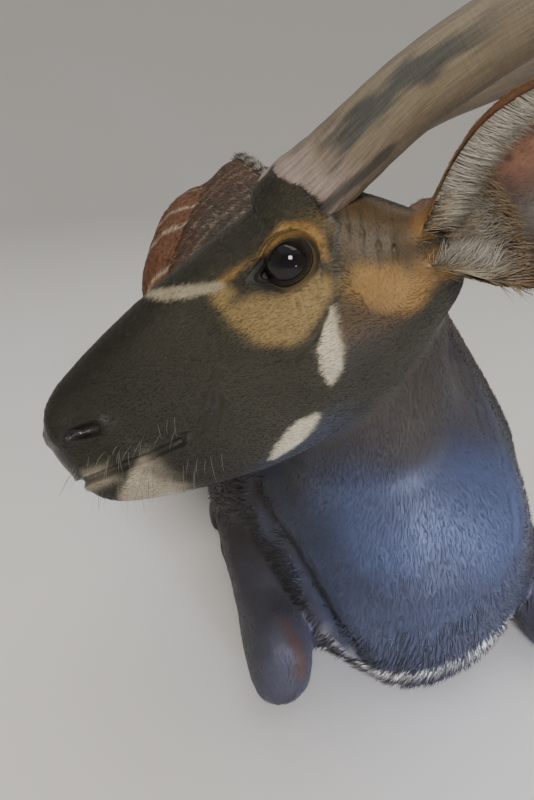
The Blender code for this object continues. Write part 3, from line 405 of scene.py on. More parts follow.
def store_colour(mesh, colours, name="coat"):
    values = np.ones((len(mesh.vertices), 4), np.float32)
    values[:, :3] = colours
    attribute = mesh.color_attributes.new(name, "FLOAT_COLOR", "POINT")
    attribute.data.foreach_set("color", values.ravel())


def outwards(obj):
    """Turns every face of a closed mesh outwards."""
    select_only(obj)
    bpy.ops.object.mode_set(mode="EDIT")
    bpy.ops.mesh.select_all(action="SELECT")
    bpy.ops.mesh.normals_make_consistent(inside=False)
    bpy.ops.object.mode_set(mode="OBJECT")


def finish(obj, slot, look, *nodes):
    obj.data.materials.clear()
    obj.data.materials.append(look)
    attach(obj, "root")
    if nodes:
        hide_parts(*nodes)


# Ears

def ear_axes(side):
    line = unit(EAR_LINES[side])
    opening = np.array(EAR_OPENINGS[side])
    opening = unit(opening - line * opening.dot(line))
    return line, opening, np.cross(line, opening)


def ear_points(side, shares, across, inset=0.0):
    """Points of the ear's outer skin at shares of its length and places across its cup."""
    line, opening, width = ear_axes(side)
    rows = smooth_rows(EAR_CUP, 64)
    shares, across = np.asarray(shares, float), np.asarray(across, float)
    radius = np.maximum(np.interp(shares, rows[:, 0], rows[:, 1]) - inset, 0.002)
    angle = across * np.radians(np.interp(shares, rows[:, 0], rows[:, 2]))
    out = radius * np.cos(angle) + 0.020 * shares ** 2
    root = on_head(EAR_ROOT[0], EAR_ROOT[1], EAR_ROOT[2] * side)
    return (root + line * (EAR_LENGTH * shares)[:, None]
            + width * (radius * np.sin(angle))[:, None] - opening * out[:, None])


def ear_shell(side):
    """One closed cup, with its root sunk into the head."""
    line = ear_axes(side)[0]
    shares = np.concatenate(([-0.16], np.linspace(0.0, 1.0, EAR_STEPS)))
    across = np.linspace(-1.0, 1.0, EAR_SPAN)
    grid_share, grid_across = np.meshgrid(shares, across, indexing="ij")
    flat = grid_share.ravel()
    points = ear_points(side, np.maximum(flat, 0.0), grid_across.ravel())
    points += line * (EAR_LENGTH * np.minimum(flat, 0.0))[:, None]
    obj = mesh_from_arrays("ear_shell", points, grid_faces(len(shares), EAR_SPAN, False))
    wall = obj.modifiers.new("wall", "SOLIDIFY")
    wall.thickness = EAR_THICKNESS
    wall.offset = 0.0
    apply_modifiers(obj)
    return obj


# Skin

def merged_copy(node, swell):
    """A copy of a node with its triangles joined up, swelled a little."""
    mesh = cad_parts[node].data.copy()
    made = bmesh.new()
    made.from_mesh(mesh)
    bmesh.ops.remove_doubles(made, verts=made.verts, dist=1e-5)
    made.normal_update()
    for corner in made.verts:
        corner.co += corner.normal * swell
    made.to_mesh(mesh)
    made.free()
    return link("flesh_" + node, mesh)


def flatten_crest(obj):
    """Lays the locks along the spine of the copy down, so that only the back is left."""
    half, rise = 0.036, 0.0055
    points = vertex_array(obj.data)
    tree = BVHTree.FromObject(obj, bpy.context.evaluated_depsgraph_get())
    local = points - ORIGIN
    near = (np.abs(local[:, 0]) < half) & (local[:, 1] > 0.43) & (local[:, 1] < 1.45)
    for i in np.nonzero(near & (local[:, 2] > 0.40))[0]:
        heights = []
        for x in (-half, half):
            start = Vector((ORIGIN[0] + x, points[i, 1], 2.0))
            hit = tree.ray_cast(start, Vector((0, 0, -1)))[0]
            if hit is not None:
                heights.append(hit.z)
        if heights:
            points[i, 2] = min(points[i, 2], max(heights) + rise)
    store_points(obj.data, points)


def slim_tail(obj):
    """Draws the tuft of the copy in to a thin core that ends at the tail's tip."""
    start, end, core = 0.134, 0.172, 0.010
    points = vertex_array(obj.data)
    local = points - ORIGIN
    far = local[:, 0] > start
    middle = np.array((0.0, 1.542, 0.014))
    offset = local[far][:, 1:] - middle[1:]
    size = np.linalg.norm(offset, axis=1, keepdims=True)
    local[far, 1:] = middle[1:] + offset * np.minimum(1.0, core / np.maximum(size, 1e-6))
    local[:, 0] = np.minimum(local[:, 0], end)
    store_points(obj.data, local + ORIGIN)


def horn_cuff(side):
    """Mound of furred skin round a horn's foot, cut off along the plane of the cuff."""
    rows = horn_axes(side)[:HORN_STEPS // 4]
    angle = np.linspace(0, 2 * math.pi, CUFF_SIDES, endpoint=False)[None]
    points = horn_rings(side, rows, angle, 0.0, CUFF_RISE)[0]
    local = to_head(points)
    beyond = CUFF_PLANE[0] + CUFF_PLANE[1] * local[..., 1] + CUFF_PLANE[2] * local[..., 2] * side
    last = np.maximum((local[..., 0] > beyond).sum(axis=0) - 1, CUFF_LEAST)
    rings = []
    for step in range(CUFF_STEPS):
        place = last * step / (CUFF_STEPS - 1)
        low = np.floor(place).astype(int)
        column = np.arange(CUFF_SIDES)
        blend = (place - low)[:, None]
        high = np.minimum(low + 1, len(rows) - 1)
        rings.append(points[low, column] * (1 - blend) + points[high, column] * blend)
    obj = mesh_from_arrays("horn_cuff", np.concatenate(rings), grid_faces(CUFF_STEPS, CUFF_SIDES, True))
    close_ends(obj)
    return obj


def region_of(node):
    if node.endswith("cannon"):
        return "cannon"
    for key, region in (("head", "head"), ("eye", "head"), ("ear", "ear"), ("neck", "neck"),
                        ("tail", "tail"), ("foreleg", "fore"), ("hindleg", "hind")):
        if node.startswith(key):
            return region
    return "trunk"


def lie_of(node):
    """The direction in which the hair of a node lies."""
    if node.startswith("ear"):
        return unit(EAR_LINES[LEFT if node.endswith("left") else RIGHT])
    if region_of(node) == "head":
        return unit(-NOSE * 0.95 - BROW * 0.30)
    for key in ("torso", "neck", "tail", "forearm", "thigh", "shank"):
        if key in node:
            way = np.array(COAT_LIE[key])
    if "cannon" in node:
        way = np.array(COAT_LIE["cannon_fore" if "fore" in node else "cannon_hind"])
    if "right" in node:
        way = way * (-1, 1, 1)
    return unit(way)


def spread(values, edges, passes, share=0.5):
    """Evens out values over the skin's edges. The share may differ from point to point."""
    count = len(values)
    degree = np.maximum(np.bincount(edges.ravel(), minlength=count), 1)
    share = np.broadcast_to(share, count)[:, None]
    for _ in range(passes):
        total = np.empty_like(values)
        for k in range(values.shape[1]):
            total[:, k] = np.bincount(edges[:, 0], values[edges[:, 1], k], count)
            total[:, k] += np.bincount(edges[:, 1], values[edges[:, 0], k], count)
        values = values + share * (total / degree[:, None] - values)
    return values


FLESH = [n for n in sorted(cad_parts) if not n.startswith(("horn", "hoof", "ear"))]


def flesh_pieces():
    pieces = []
    for node in FLESH:
        obj = merged_copy(node, SWELL)
        if node == "torso":
            flatten_crest(obj)
        if node == "tail":
            slim_tail(obj)
        pieces.append((node, obj))
    for side, word in SIDES:
        pieces.append(("ear_" + word, ear_shell(side)))
        pieces.append(("head", horn_cuff(side)))
    return pieces


def select_faces(obj, chosen):
    """Goes into edit mode with only the chosen faces selected."""
    select_only(obj)
    bpy.ops.object.mode_set(mode="EDIT")
    bpy.ops.mesh.select_mode(type="FACE")
    bpy.ops.mesh.select_all(action="DESELECT")
    bpy.ops.object.mode_set(mode="OBJECT")
    obj.data.polygons.foreach_set("select", chosen)
    bpy.ops.object.mode_set(mode="EDIT")


def all_triangles():
    """From edit mode, splits what isn't a triangle and goes back to object mode."""
    bpy.ops.mesh.select_all(action="SELECT")
    bpy.ops.mesh.quads_convert_to_tris(quad_method="BEAUTY", ngon_method="BEAUTY")
    bpy.ops.object.mode_set(mode="OBJECT")


def thin_out(obj, triangles):
    """Makes the skin coarser, far more so away from the head and ears."""
    centres = face_centres(obj.data)
    fine = np.zeros(len(centres), bool)
    for node in ("head", "ear_left", "ear_right"):
        low, high = (np.array(corner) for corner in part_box(node))
        fine |= np.all((centres > low - 0.012) & (centres < high + 0.012), axis=1)
    select_faces(obj, ~fine)
    bpy.ops.mesh.decimate(ratio=min(1.0, triangles / (2.0 * len(centres))))
    bpy.ops.mesh.select_all(action="INVERT")
    bpy.ops.mesh.decimate(ratio=HEAD_SHARE)
    all_triangles()


def face_detail(local):
    """How far each point of the head is from the nearest form that needs a fine mesh."""
    flat = local[:, :2]
    eye = np.hypot(local[:, 0], local[:, 1]) + FAR * (local[:, 2] < 0.03)
    mouth = distance_to(flat, MOUTH) + FAR * (local[:, 2] > 0.08)
    best = np.minimum(eye - 0.026, mouth - 0.003)
    best = np.minimum(best, distance_to(local, NOSTRIL) - 0.009)
    for path in [fold[2] for fold in FOLDS] + list(NECKLINE_FOLDS):
        best = np.minimum(best, distance_to(local, path) - 0.001)
    return best


def refine(obj):
    """Splits the triangles round eyes, nostrils, mouth and folds into finer ones."""
    for reach in (0.0050, 0.0014):
        local = to_head(face_centres(obj.data))
        local[:, 2] = np.abs(local[:, 2])
        select_faces(obj, face_detail(local) < reach)
        bpy.ops.mesh.subdivide(number_cuts=1)
        all_triangles()


class Patch:
    """A surface with what the coat needs to know at each of its points."""

    def __init__(self, points, normals, lie, weights, triangles):
        self.points, self.normals, self.lie = points, normals, lie
        self.weights, self.triangles = weights, triangles

    def weight(self, *regions):
        return sum(self.weights[:, REGIONS.index(r)] for r in regions)


class Skin(Patch):
    """The skin over all the flesh, as one mesh object."""

    def __init__(self):
        pieces = flesh_pieces()
        points, faces, owner = [], [], []
        for index, (node, obj) in enumerate(pieces):
            start = sum(len(p) for p in points)
            points.append(vertex_array(obj.data))
            for face in obj.data.polygons:
                faces.append([start + v for v in face.vertices])
                owner.append(index)
        tree = BVHTree.FromPolygons(np.concatenate(points).tolist(), faces)
        select_only(*[obj for node, obj in pieces])
        bpy.ops.object.join()
        self.obj = bpy.context.view_layer.objects.active
        self.obj.name = "skin"
        self.obj.data.name = "skin"
        cells = self.obj.modifiers.new("cells", "REMESH")
        cells.mode = "VOXEL"
        cells.voxel_size = SKIN_CELL
        apply_modifiers(self.obj)
        thin_out(self.obj, SKIN_TRIANGLES)
        self.read()
        self.smooth_cells()
        refine(self.obj)
        self.read()
        self.assign([node for node, obj in pieces], tree, owner)

    def read(self):
        mesh = self.obj.data
        self.points = vertex_array(mesh)
        self.normals = vertex_array(mesh, "normal")
        self.edges = np.empty(len(mesh.edges) * 2, np.int32)
        mesh.edges.foreach_get("vertices", self.edges)
        self.edges = self.edges.reshape(-1, 2)
        self.triangles = np.empty(len(mesh.polygons) * 3, np.int32)
        mesh.polygons.foreach_get("vertices", self.triangles)
        self.triangles = self.triangles.reshape(-1, 3)

    def smooth_cells(self):
        """Takes the steps of the remesh off the head, before it is made finer."""
        self.points = spread(self.points, self.edges, 3, 0.4)
        self.store()

    def assign(self, names, tree, owner):
        """Gives each point its regions and the lie of the coat, evened out over the borders."""
        nearest = np.array([owner[tree.find_nearest(Vector(p))[2]] for p in self.points])
        ways = np.array([lie_of(name) for name in names])[nearest]
        weights = np.zeros((len(nearest), len(REGIONS)))
        index = np.array([REGIONS.index(region_of(name)) for name in names])[nearest]
        weights[np.arange(len(index)), index] = 1.0
        self.weights = spread(weights, self.edges, 8)
        self.lie = spread(ways, self.edges, 12)
        local = to_head(self.points)
        half_side = np.sign(local[:, 2])
        local[:, 2] = np.abs(local[:, 2])
        near = 1 - ease(0.010, 0.030, distance_to(local, NECKLINE_FOLDS[1] + NECKLINE_FOLDS[2]))
        combed = np.tile(NECKLINE_LIE, (len(local), 1))
        combed[:, 2] *= half_side
        self.lie += (combed @ HEAD_FRAME - self.lie) * near[:, None]

    def smooth(self):
        """Takes the facets of the solids off the skin, most on the trunk."""
        share = 0.25 + 0.40 * self.weight("trunk", "neck") + 0.25 * self.weight("fore", "hind")
        share = np.where(self.weight("ear") > 0.3, 0.25, share)
        self.points = spread(self.points, self.edges, 10, np.minimum(share, 0.65))
        body = ease(0.80, 1.0, self.weight("trunk", "neck"))
        self.points = spread(self.points, self.edges, 22, 0.65 * body)
        self.store()

    def store(self):
        store_points(self.obj.data, self.points)
        self.normals = vertex_array(self.obj.data, "normal")

    def sink(self):
        """Moves the skin in by the coat's depth."""
        depth = sum(self.weight(region) * amount for region, amount in COAT_DEPTH.items())
        depth *= 0.25 + 0.75 * ease(0.004, 0.03, self.points[:, 2])
        self.points = self.points - self.normals * (SWELL + depth)[:, None]
        self.points[:, 2] = np.maximum(self.points[:, 2], FLOOR_GAP)
        self.store()


# Forms of the face

def opening_at(angle):
    """The edge of the eye's opening as a, n, drawn out to the tear corner."""
    u, w = np.cos(angle), np.sin(angle)
    away = np.angle(np.exp(1j * (angle - TEAR_ANGLE)))
    pull = 1.0 + TEAR_PULL * bump_at(away, 0.0, TEAR_WIDTH)
    a = u * np.where(u > 0, EYE_FRONT, EYE_BACK) * pull
    return a, w * np.where(w > 0, EYE_UP, EYE_DOWN) * pull


def opening_share(a, n):
    """How far out a place lies, as a share of the eye's opening."""
    edge_a, edge_n = opening_at(np.arctan2(n, a))
    return np.hypot(a, n) / np.hypot(edge_a, edge_n)


def ball_height(a, n):
    flat = np.minimum(a * a + n * n, (EYE_RADIUS * 0.985) ** 2)
    return EYE_SIDE + np.sqrt(EYE_RADIUS ** 2 - flat)


def shape_head(skin):
    """Eye sockets, nostrils, mouth and folds, as moves of the skin."""
    local = to_head(skin.points)
    half_side = np.sign(local[:, 2])
    local[:, 2] = np.abs(local[:, 2])
    toward = skin.normals @ HEAD_FRAME.T
    toward[:, 2] *= half_side
    amount = skin.weight("head")
    near = amount > 0.05
    flat = local[:, :2]

    share = opening_share(local[:, 0], local[:, 1])
    front = near & (local[:, 2] > 0.03)
    ball = ball_height(local[:, 0], local[:, 1])
    socket = front & (share < 1.0)
    brim = front & (share >= 1.0) & (share < 1.6)
    local[socket, 2] = ball[socket] - 0.005
    pull = 1.0 - ease(1.0, 1.6, share)
    local[brim, 2] += ((ball - 0.0012 - local[:, 2]) * pull)[brim]

    into = np.zeros(len(local))
    slit = distance_to(local, NOSTRIL)
    into += NOSTRIL_DEPTH * bump_at(slit, 0.0, NOSTRIL_HALF)
    into -= 0.0026 * bump_at(slit, 0.0085, 0.0036)
    line = distance_to(flat, MOUTH)
    into += MOUTH_DEPTH * bump_at(line, 0.0, MOUTH_HALF)
    into -= 0.0014 * bump_at(line, 0.0062, 0.0034)
    for depth, half, path in FOLDS:
        away = distance_to(local, path)
        into += depth * bump_at(away, 0.0, half)
        into -= 0.45 * depth * bump_at(away, 2.4 * half, 1.3 * half)
    into -= RIDGE_HEIGHT * bump_at(distance_to(local, RIDGE), 0.0, RIDGE_HALF)
    into += lid_lines(local)
    for path in NECKLINE_FOLDS:
        into += 0.0022 * mark(local, path, NECKLINE_HALF, 0.0017)
    skin_reach = np.clip(amount + skin.weight("neck"), 0, 1)
    local -= toward * (into * skin_reach)[:, None]
    local[:, 2] *= half_side
    skin.points = from_head(local)
    skin.store()


def lid_lines(local):
    """Depth of the fine folds round the lids at each point."""
    share = opening_share(local[:, 0], local[:, 1]) + FAR * (local[:, 2] < 0.03)
    angle = np.arctan2(local[:, 1], local[:, 0])
    depth = np.zeros(len(local))
    for place, start, end, deep in LID_LINES:
        centre, half = (start + end) / 2, (end - start) / 2
        turn = np.abs(np.angle(np.exp(1j * (angle - centre))))
        depth += deep * bump_at(share, place, 0.055) * (1 - ease(half - 0.35, half, turn))
    return depth


def shape_neck(skin):
    """The furrow between breast and shoulder, and the long folds of the neck."""
    body = skin.points - ORIGIN
    reach = skin.weight("neck", "trunk")
    into = 0.012 * bump_at(distance_to(body, BREAST_EDGE), 0.0, 0.013)
    inside = np.array(BREAST_EDGE) + (0.032, -0.020, 0.0)
    into -= 0.006 * bump_at(distance_to(body, inside), 0.0, 0.020)
    for path in NECK_FOLDS:
        into += 0.0035 * bump_at(distance_to(body, path), 0.0, 0.0065)
    skin.points = skin.points - skin.normals * (into * reach)[:, None]
    skin.store()


# Markings

def paint_over(colours, colour, amount):
    return colours + (np.array(colour) - colours) * np.clip(amount, 0, 1)[:, None]


def mark(points, path, halves, soft):
    """How much each point lies in a mark drawn along a path of changing width."""
    return 1.0 - ease(-soft, soft, distance_to(points, path, halves))


def speckle(amount, luck, blend=0.45):
    """Turns a soft edge into a mix of light and dark hairs, by each hair's luck from 0 to 1."""
    mixed = amount + 3.2 * (luck - 0.5) * amount * (1.0 - np.minimum(amount, 1.0))
    return ease(0.5 - blend, 0.5 + blend, mixed)


def coat_colour(points, weights, normals, luck):
    """The colour of the coat at each point, painted light and painted shade included. Skin and tufts share
    it.
    """
    region = {name: weights[:, k] for k, name in enumerate(REGIONS)}
    body = points - ORIGIN
    x, y, z = body.T
    wave = ripple(points, 0.11, 5)
    fine = ripple(points, 0.018, 6)
    colours = np.tile(CHESTNUT, (len(points), 1))
    forward = 1.0 - ease(0.10, 0.62, y + 0.05 * wave + 0.25 * (z - 0.3))
    colours = paint_over(colours, CHESTNUT_DARK, 0.35 + 0.5 * forward)
    colours = paint_over(colours, BLACK_BROWN, speckle(ease(0.50, 0.95, forward), luck))
    belly = (1.0 - ease(0.05, 0.17, z + 0.02 * wave)) * region["trunk"]
    colours = paint_over(colours, BLACK_BROWN, 0.85 * belly)
    withers = region["trunk"] * ease(0.38, 0.47, z + 0.02 * wave) * (1 - ease(0.7, 1.2, y))
    colours = paint_over(colours, WITHERS, 0.85 * withers)
    chest = 1.0 - ease(0.02, 0.26, y)
    front = np.maximum(region["neck"], region["trunk"] * chest)
    colours = paint_over(colours, BLACK_BROWN, front)
    # Painted bluish light on the lower neck and chest, fading out towards the animal's right side.
    lit = front * (1 - ease(0.22, 0.40, z + 0.03 * wave)) * ease(-0.20, -0.12, x + 0.03 * wave)
    colours = paint_over(colours, BLACK_IN_PAINTED_BLUE_LIGHT, lit)
    # Lower on the breast the painted blue light grows dim, so a darker navy is painted there.
    breast = lit * (1 - ease(0.17, 0.27, z + 0.02 * wave + 0.01 * fine))
    colours = paint_over(colours, BREAST_DIM_PAINTED_LIGHT, 0.9 * breast)
    colours = paint_over(colours, NAPE_BROWN, 0.8 * region["neck"] * ease(0.30, 0.42, z + 0.03 * wave))
    # Painted shadow on the right shoulder, behind the edge of the breast.
    shoulder = np.array(BREAST_EDGE) + (-0.036, 0.026, -0.008)
    shade = mark(body, shoulder, np.full(len(shoulder), 0.030), 0.014)
    colours = paint_over(colours, BLACK_BROWN, shade * front)
    # Painted shade in the long folds of the neck.
    for path in NECK_FOLDS:
        colours = paint_over(colours, BLACK_BROWN, 0.6 * front * bump_at(distance_to(body, path), 0, 0.005))

    colours = stripe_colour(colours, body, region)
    colours = leg_colour(colours, body, region, normals, fine)
    colours = face_colour(colours, points, region, fine, luck)
    colours = ear_colour(colours, points, region["ear"], normals)
    return np.clip(colours * (1.0 + 0.10 * fine + 0.08 * wave)[:, None], 0, 1)


def stripe_colour(colours, body, region):
    """Thin pale stripes down the flanks, and the white crescent at the foot of the chest."""
    y, z = body[:, 1], body[:, 2]
    stripes = np.zeros(len(body))
    for k in range(STRIPES):
        line = 0.40 + STRIPE_PITCH * k + 0.10 * (0.45 - z) + 0.012 * np.sin(9.0 * z + 2.1 * k)
        width = 0.0044 + 0.0014 * math.sin(1.7 * k)
        reach = ease(0.13 + 0.05 * math.sin(2.9 * k), 0.20, z)
        stripes = np.maximum(stripes, np.exp(-((y - line) / width) ** 2) * reach)
    stripes *= np.clip(region["trunk"] + region["hind"], 0, 1) * ease(0.36, 0.42, y)
    colours = paint_over(colours, CREAM, 0.85 * stripes)
    crescent = mark(body, CRESCENT, CRESCENT_HALF, 0.005)
    return paint_over(colours, WHITE, crescent * (region["trunk"] + region["neck"]))


def leg_colour(colours, body, region, normals, fine):
    """Dark legs, grey knees with a brown streak, and white inner sides of the cannons."""
    x, y, z = body.T
    legs = region["fore"] + region["cannon"]
    # Dark leg colour; on the upper forearms it is also painted shadow.
    colours = paint_over(colours, BLACK_BROWN, legs * 0.9)
    knee = region["fore"] * (1 - ease(0.08, 0.17, z + 0.4 * y - 0.05 + 0.02 * fine))
    colours = paint_over(colours, KNEE_GREY, knee)
    mirrored = body * np.stack((-np.sign(x), np.ones(len(x)), np.ones(len(x))), axis=1)
    streak = mark(mirrored, KNEE_STREAK, KNEE_STREAK_HALF, 0.008)
    colours = paint_over(colours, CHESTNUT_DARK, 0.8 * streak * region["fore"])
    inner = ease(-0.2, 0.4, -normals[:, 0] * np.sign(x)) * region["cannon"]
    colours = paint_over(colours, WHITE, inner * 0.8)
    return paint_over(colours, BLACK_BROWN, 0.5 * region["hind"] * (1 - ease(0.08, 0.16, z)))


def face_colour(colours, points, region, fine, luck):
    local = to_head(points)
    local[:, 2] = np.abs(local[:, 2])
    a, n = local[:, 0], local[:, 1]
    amount = np.clip(region["head"] * 1.3, 0, 1)
    both = np.clip(region["head"] + region["neck"] + 0.6 * region["ear"], 0, 1)
    colours = paint_over(colours, FACE_BROWN, amount)
    colours = paint_over(colours, MUZZLE_BLACK, amount * ease(0.10, 0.20, a + 0.02 * fine))
    top = ease(0.036, 0.060, n) * ease(-0.09, -0.04, a)
    colours = paint_over(colours, BROW_BLACK, amount * top * 0.85)
    # Painted bluish light under the jaw.
    jaw = (1 - ease(-0.128, -0.108, n)) * ease(0.03, 0.07, a)
    colours = paint_over(colours, BLACK_IN_PAINTED_BLUE_LIGHT, amount * jaw * 0.4)
    colours = brow_colour(colours, local, luck, amount, both)
    colours = eye_colour(colours, local, amount)
    tips = ease(0.62, 1.0, luck) * (1 - ease(0.02, 0.10, colours[:, 1])) * (1 - 0.6 * ease(0.12, 0.22, a))
    colours = paint_over(colours, FACE_TIPS, 0.62 * tips * amount)
    for path, halves, colour in ((CHEVRON, CHEVRON_HALF, CHEVRON_CREAM),
                                 (UPPER_SPOT, UPPER_SPOT_HALF, FACE_WHITE),
                                 (LOWER_SPOT, LOWER_SPOT_HALF, FACE_WHITE)):
        spot = mark(local, path, halves, 0.0030)
        colours = paint_over(colours, colour, speckle(spot, luck, 0.35) * amount)
    bare = np.where(luck == SKIN_LUCK, 1.0, 0.25)
    # Painted shade in the folds of the face, darker where a fold is deeper.
    for depth, half, path in FOLDS:
        dark = 1 - ease(0.1 * half, 1.2 * half, distance_to(local, path))
        strength = min(0.85, 0.35 + 160 * depth) * min(1.0, 0.0022 / half)
        colours = paint_over(colours, BROW_BLACK, bare * dark * both * strength)
    colours = nose_colour(colours, local, fine, amount)
    # Painted shade along the soft folds between horn and ear.
    for path in NECKLINE_FOLDS:
        colours = paint_over(colours, BROW_BLACK, 0.92 * mark(local, path, NECKLINE_HALF, 0.0016) * both)
    # Painted shade inside the nostril's slit, darker than the black nose skin.
    hole = 1 - ease(0.001, 0.0042, distance_to(local, NOSTRIL))
    return paint_over(colours, NOSTRIL_PAINTED_SHADE, amount * hole)


def brow_colour(colours, local, luck, amount, both):
    """The brown and gold behind the eye, and the ochre, dark and gold marks over and before it."""
    a, n, t = local.T
    behind = -0.741 * (a + 0.049) - 0.671 * (n + 0.003)
    along = 0.671 * (a + 0.049) - 0.741 * (n + 0.003)
    brown = ease(-0.002, 0.008, behind) * (1 - ease(0.085, 0.135, along + 0.4 * behind))
    brown *= ease(0.035, 0.055, t) * (1 - ease(0.055, 0.085, behind))
    colours = paint_over(colours, BROWN, speckle(brown, luck, 0.35) * brown * both)
    gold = mark(local, GOLD_LINE, (0.016, 0.020, 0.016, 0.012), 0.014)
    colours = paint_over(colours, GOLD, speckle(gold * 0.95, luck) * both)
    patch = mark(local, OCHRE_LINE, OCHRE_HALF, 0.010)
    colours = paint_over(colours, OCHRE, speckle(patch, luck) * amount)
    brow_dark = mark(local, DARK_STRIPE, (0.006, 0.008, 0.008, 0.004), 0.005)
    colours = paint_over(colours, MUZZLE_BLACK, 0.8 * brow_dark * amount)
    light = mark(local, LIGHT_LINE, (0.003, 0.004, 0.005, 0.006, 0.007, 0.006, 0.003), 0.005)
    colours = paint_over(colours, GOLD, speckle(light * 0.85, luck) * amount)
    over = mark(local, ((-0.030, 0.030, 0.068), (-0.042, 0.014, 0.070), (-0.042, -0.006, 0.070)),
                (0.006, 0.008, 0.004), 0.008)
    colours = paint_over(colours, OCHRE, 0.6 * speckle(over * 0.7, luck) * amount)
    return colours


def eye_colour(colours, local, amount):
    """The brown lower lid, the wet black rim, the brown tear corner and painted shade in the creases of the
    lids.
    """
    a, n, t = local.T
    rim = opening_share(a, n) + FAR * (t < 0.03)
    below = 1 - ease(-0.006, 0.006, n - 0.3 * a)
    lid = amount * (1 - ease(1.30, 1.65, rim)) * (1 - ease(0.008, 0.024, a))
    colours = paint_over(colours, BROWN, 0.7 * lid * below)
    colours = paint_over(colours, WET_BLACK, amount * (1 - ease(1.02, 1.12 + 0.12 * below, rim)) * 0.9)
    tear = mark(local, ((0.030, 0.010, 0.062), (0.046, 0.008, 0.058), (0.064, 0.008, 0.054)),
                (0.008, 0.007, 0.002), 0.006)
    colours = paint_over(colours, FACE_BROWN, amount * tear * 0.85)
    # Painted shade in the fine creases round the lids.
    lines = ease(0.0001, 0.0005, lid_lines(local))
    return paint_over(colours, BROW_BLACK, 0.75 * amount * lines)


def nose_colour(colours, local, fine, amount):
    """Pale chin and lip, and the black nose pad."""
    a, n = local[:, 0], local[:, 1]
    chin = ease(0.205, 0.240, a + 0.004 * fine) * (1 - ease(-0.052, -0.042, n + 0.28 * (a - 0.25)))
    lip = ease(0.245, 0.270, a) * bump_at(distance_to(local[:, :2], MOUTH), 0.007, 0.005)
    colours = paint_over(colours, CREAM, amount * np.maximum(chin * 0.85, lip * 0.5))
    return paint_over(colours, WET_BLACK, amount * wet_nose(local))


def wet_nose(local):
    """How much each place belongs to the naked nose pad or the nostril's rim."""
    a, n = local[:, 0], local[:, 1]
    pad = ease(0.276, 0.286, a) * ease(-0.026, -0.016, n) * (1 - ease(0.052, 0.062, n))
    rim = 1 - ease(0.0055, 0.0085, distance_to(local, NOSTRIL))
    return np.maximum(pad, rim)


def ear_colour(colours, points, amount, normals):
    for side in (LEFT, RIGHT):
        line, opening, width = ear_axes(side)
        root = on_head(EAR_ROOT[0], EAR_ROOT[1], EAR_ROOT[2] * side)
        rel = points - root
        mine = amount * (np.linalg.norm(rel - line * 0.11, axis=1) < 0.19)
        share = (rel @ line) / EAR_LENGTH
        inner = ease(-0.15, 0.25, normals @ opening)
        front = -(rel @ width) if side == LEFT else rel @ width
        colours = paint_over(colours, BROWN, mine * (1 - inner))
        colours = paint_over(colours, EAR_RIM, mine * (1 - inner) * ease(0.0, 0.05, front))
        colours = paint_over(colours, EAR_PINK, mine * inner)
        cup = np.interp(share, [row[0] for row in EAR_CUP], [math.radians(row[2]) for row in EAR_CUP])
        across = np.arctan2(front, -(rel @ opening)) / cup
        colours = paint_over(colours, EAR_RIM, mine * inner * ease(0.80, 0.88, across))
        speck = ease(0.35, 0.95, ripple(points, 0.010, 21))
        colours = paint_over(colours, EAR_DARK, mine * inner * speck * 0.55)
        low = 1 - ease(-0.015, 0.030, front + 0.10 * (share - 0.35) + 0.006 * ripple(points, 0.03, 22))
        colours = paint_over(colours, EAR_DARK, mine * inner * low * (1 - ease(0.70, 0.80, across)) * 0.92)
        foot = 1 - ease(0.02, 0.16, share)
        colours = paint_over(colours, GOLD, mine * foot * 0.85)
    return colours


# Coat

def draw_roots(patch, density, keep, seed):
    """Evenly spread points on a surface: place, normal, lie and regions. Density is per square metre."""
    draw = np.random.default_rng(seed)
    corners = patch.points[patch.triangles]
    area = np.linalg.norm(np.cross(corners[:, 1] - corners[:, 0], corners[:, 2] - corners[:, 0]), axis=1) / 2
    total = np.cumsum(area * density * keep[patch.triangles].min(axis=1))
    count = int(total[-1])
    picks = np.searchsorted(total, (np.arange(count) + draw.uniform(0, 1, count)) * total[-1] / count)
    picks = np.minimum(picks, len(area) - 1)
    u, v = draw.uniform(0, 1, (2, count))
    fold = u + v > 1
    u[fold], v[fold] = 1 - u[fold], 1 - v[fold]
    shares = np.stack((1 - u - v, u, v), axis=1)[:, :, None]
    tri = patch.triangles[picks]
    sources = (patch.points, patch.normals, patch.lie, patch.weights)
    place, normal, lie, weights = [(values[tri] * shares).sum(axis=1) for values in sources]
    normal = unit(normal)
    lie = unit(lie - normal * (lie * normal).sum(axis=1, keepdims=True))
    return place, normal, lie, weights, draw


def box_unwrap(points, normals):
    """Places on a cube unwrap: each of six sides gets its own cell of the map."""
    low, high = points.min(axis=0), points.max(axis=0)
    size = float((high - low).max())
    axis = np.abs(normals).argmax(axis=1)
    back = normals[np.arange(len(axis)), axis] < 0
    first = np.where(axis == 0, 1, 0)
    second = np.where(axis == 2, 1, 2)
    rows = np.arange(len(points))
    u = (points[rows, first] - low[first]) / size
    v = (points[rows, second] - low[second]) / size
    return np.stack(((axis + 0.03 + 0.94 * u) / 3.0, (back + 0.03 + 0.94 * v) / 2.0), axis=1)


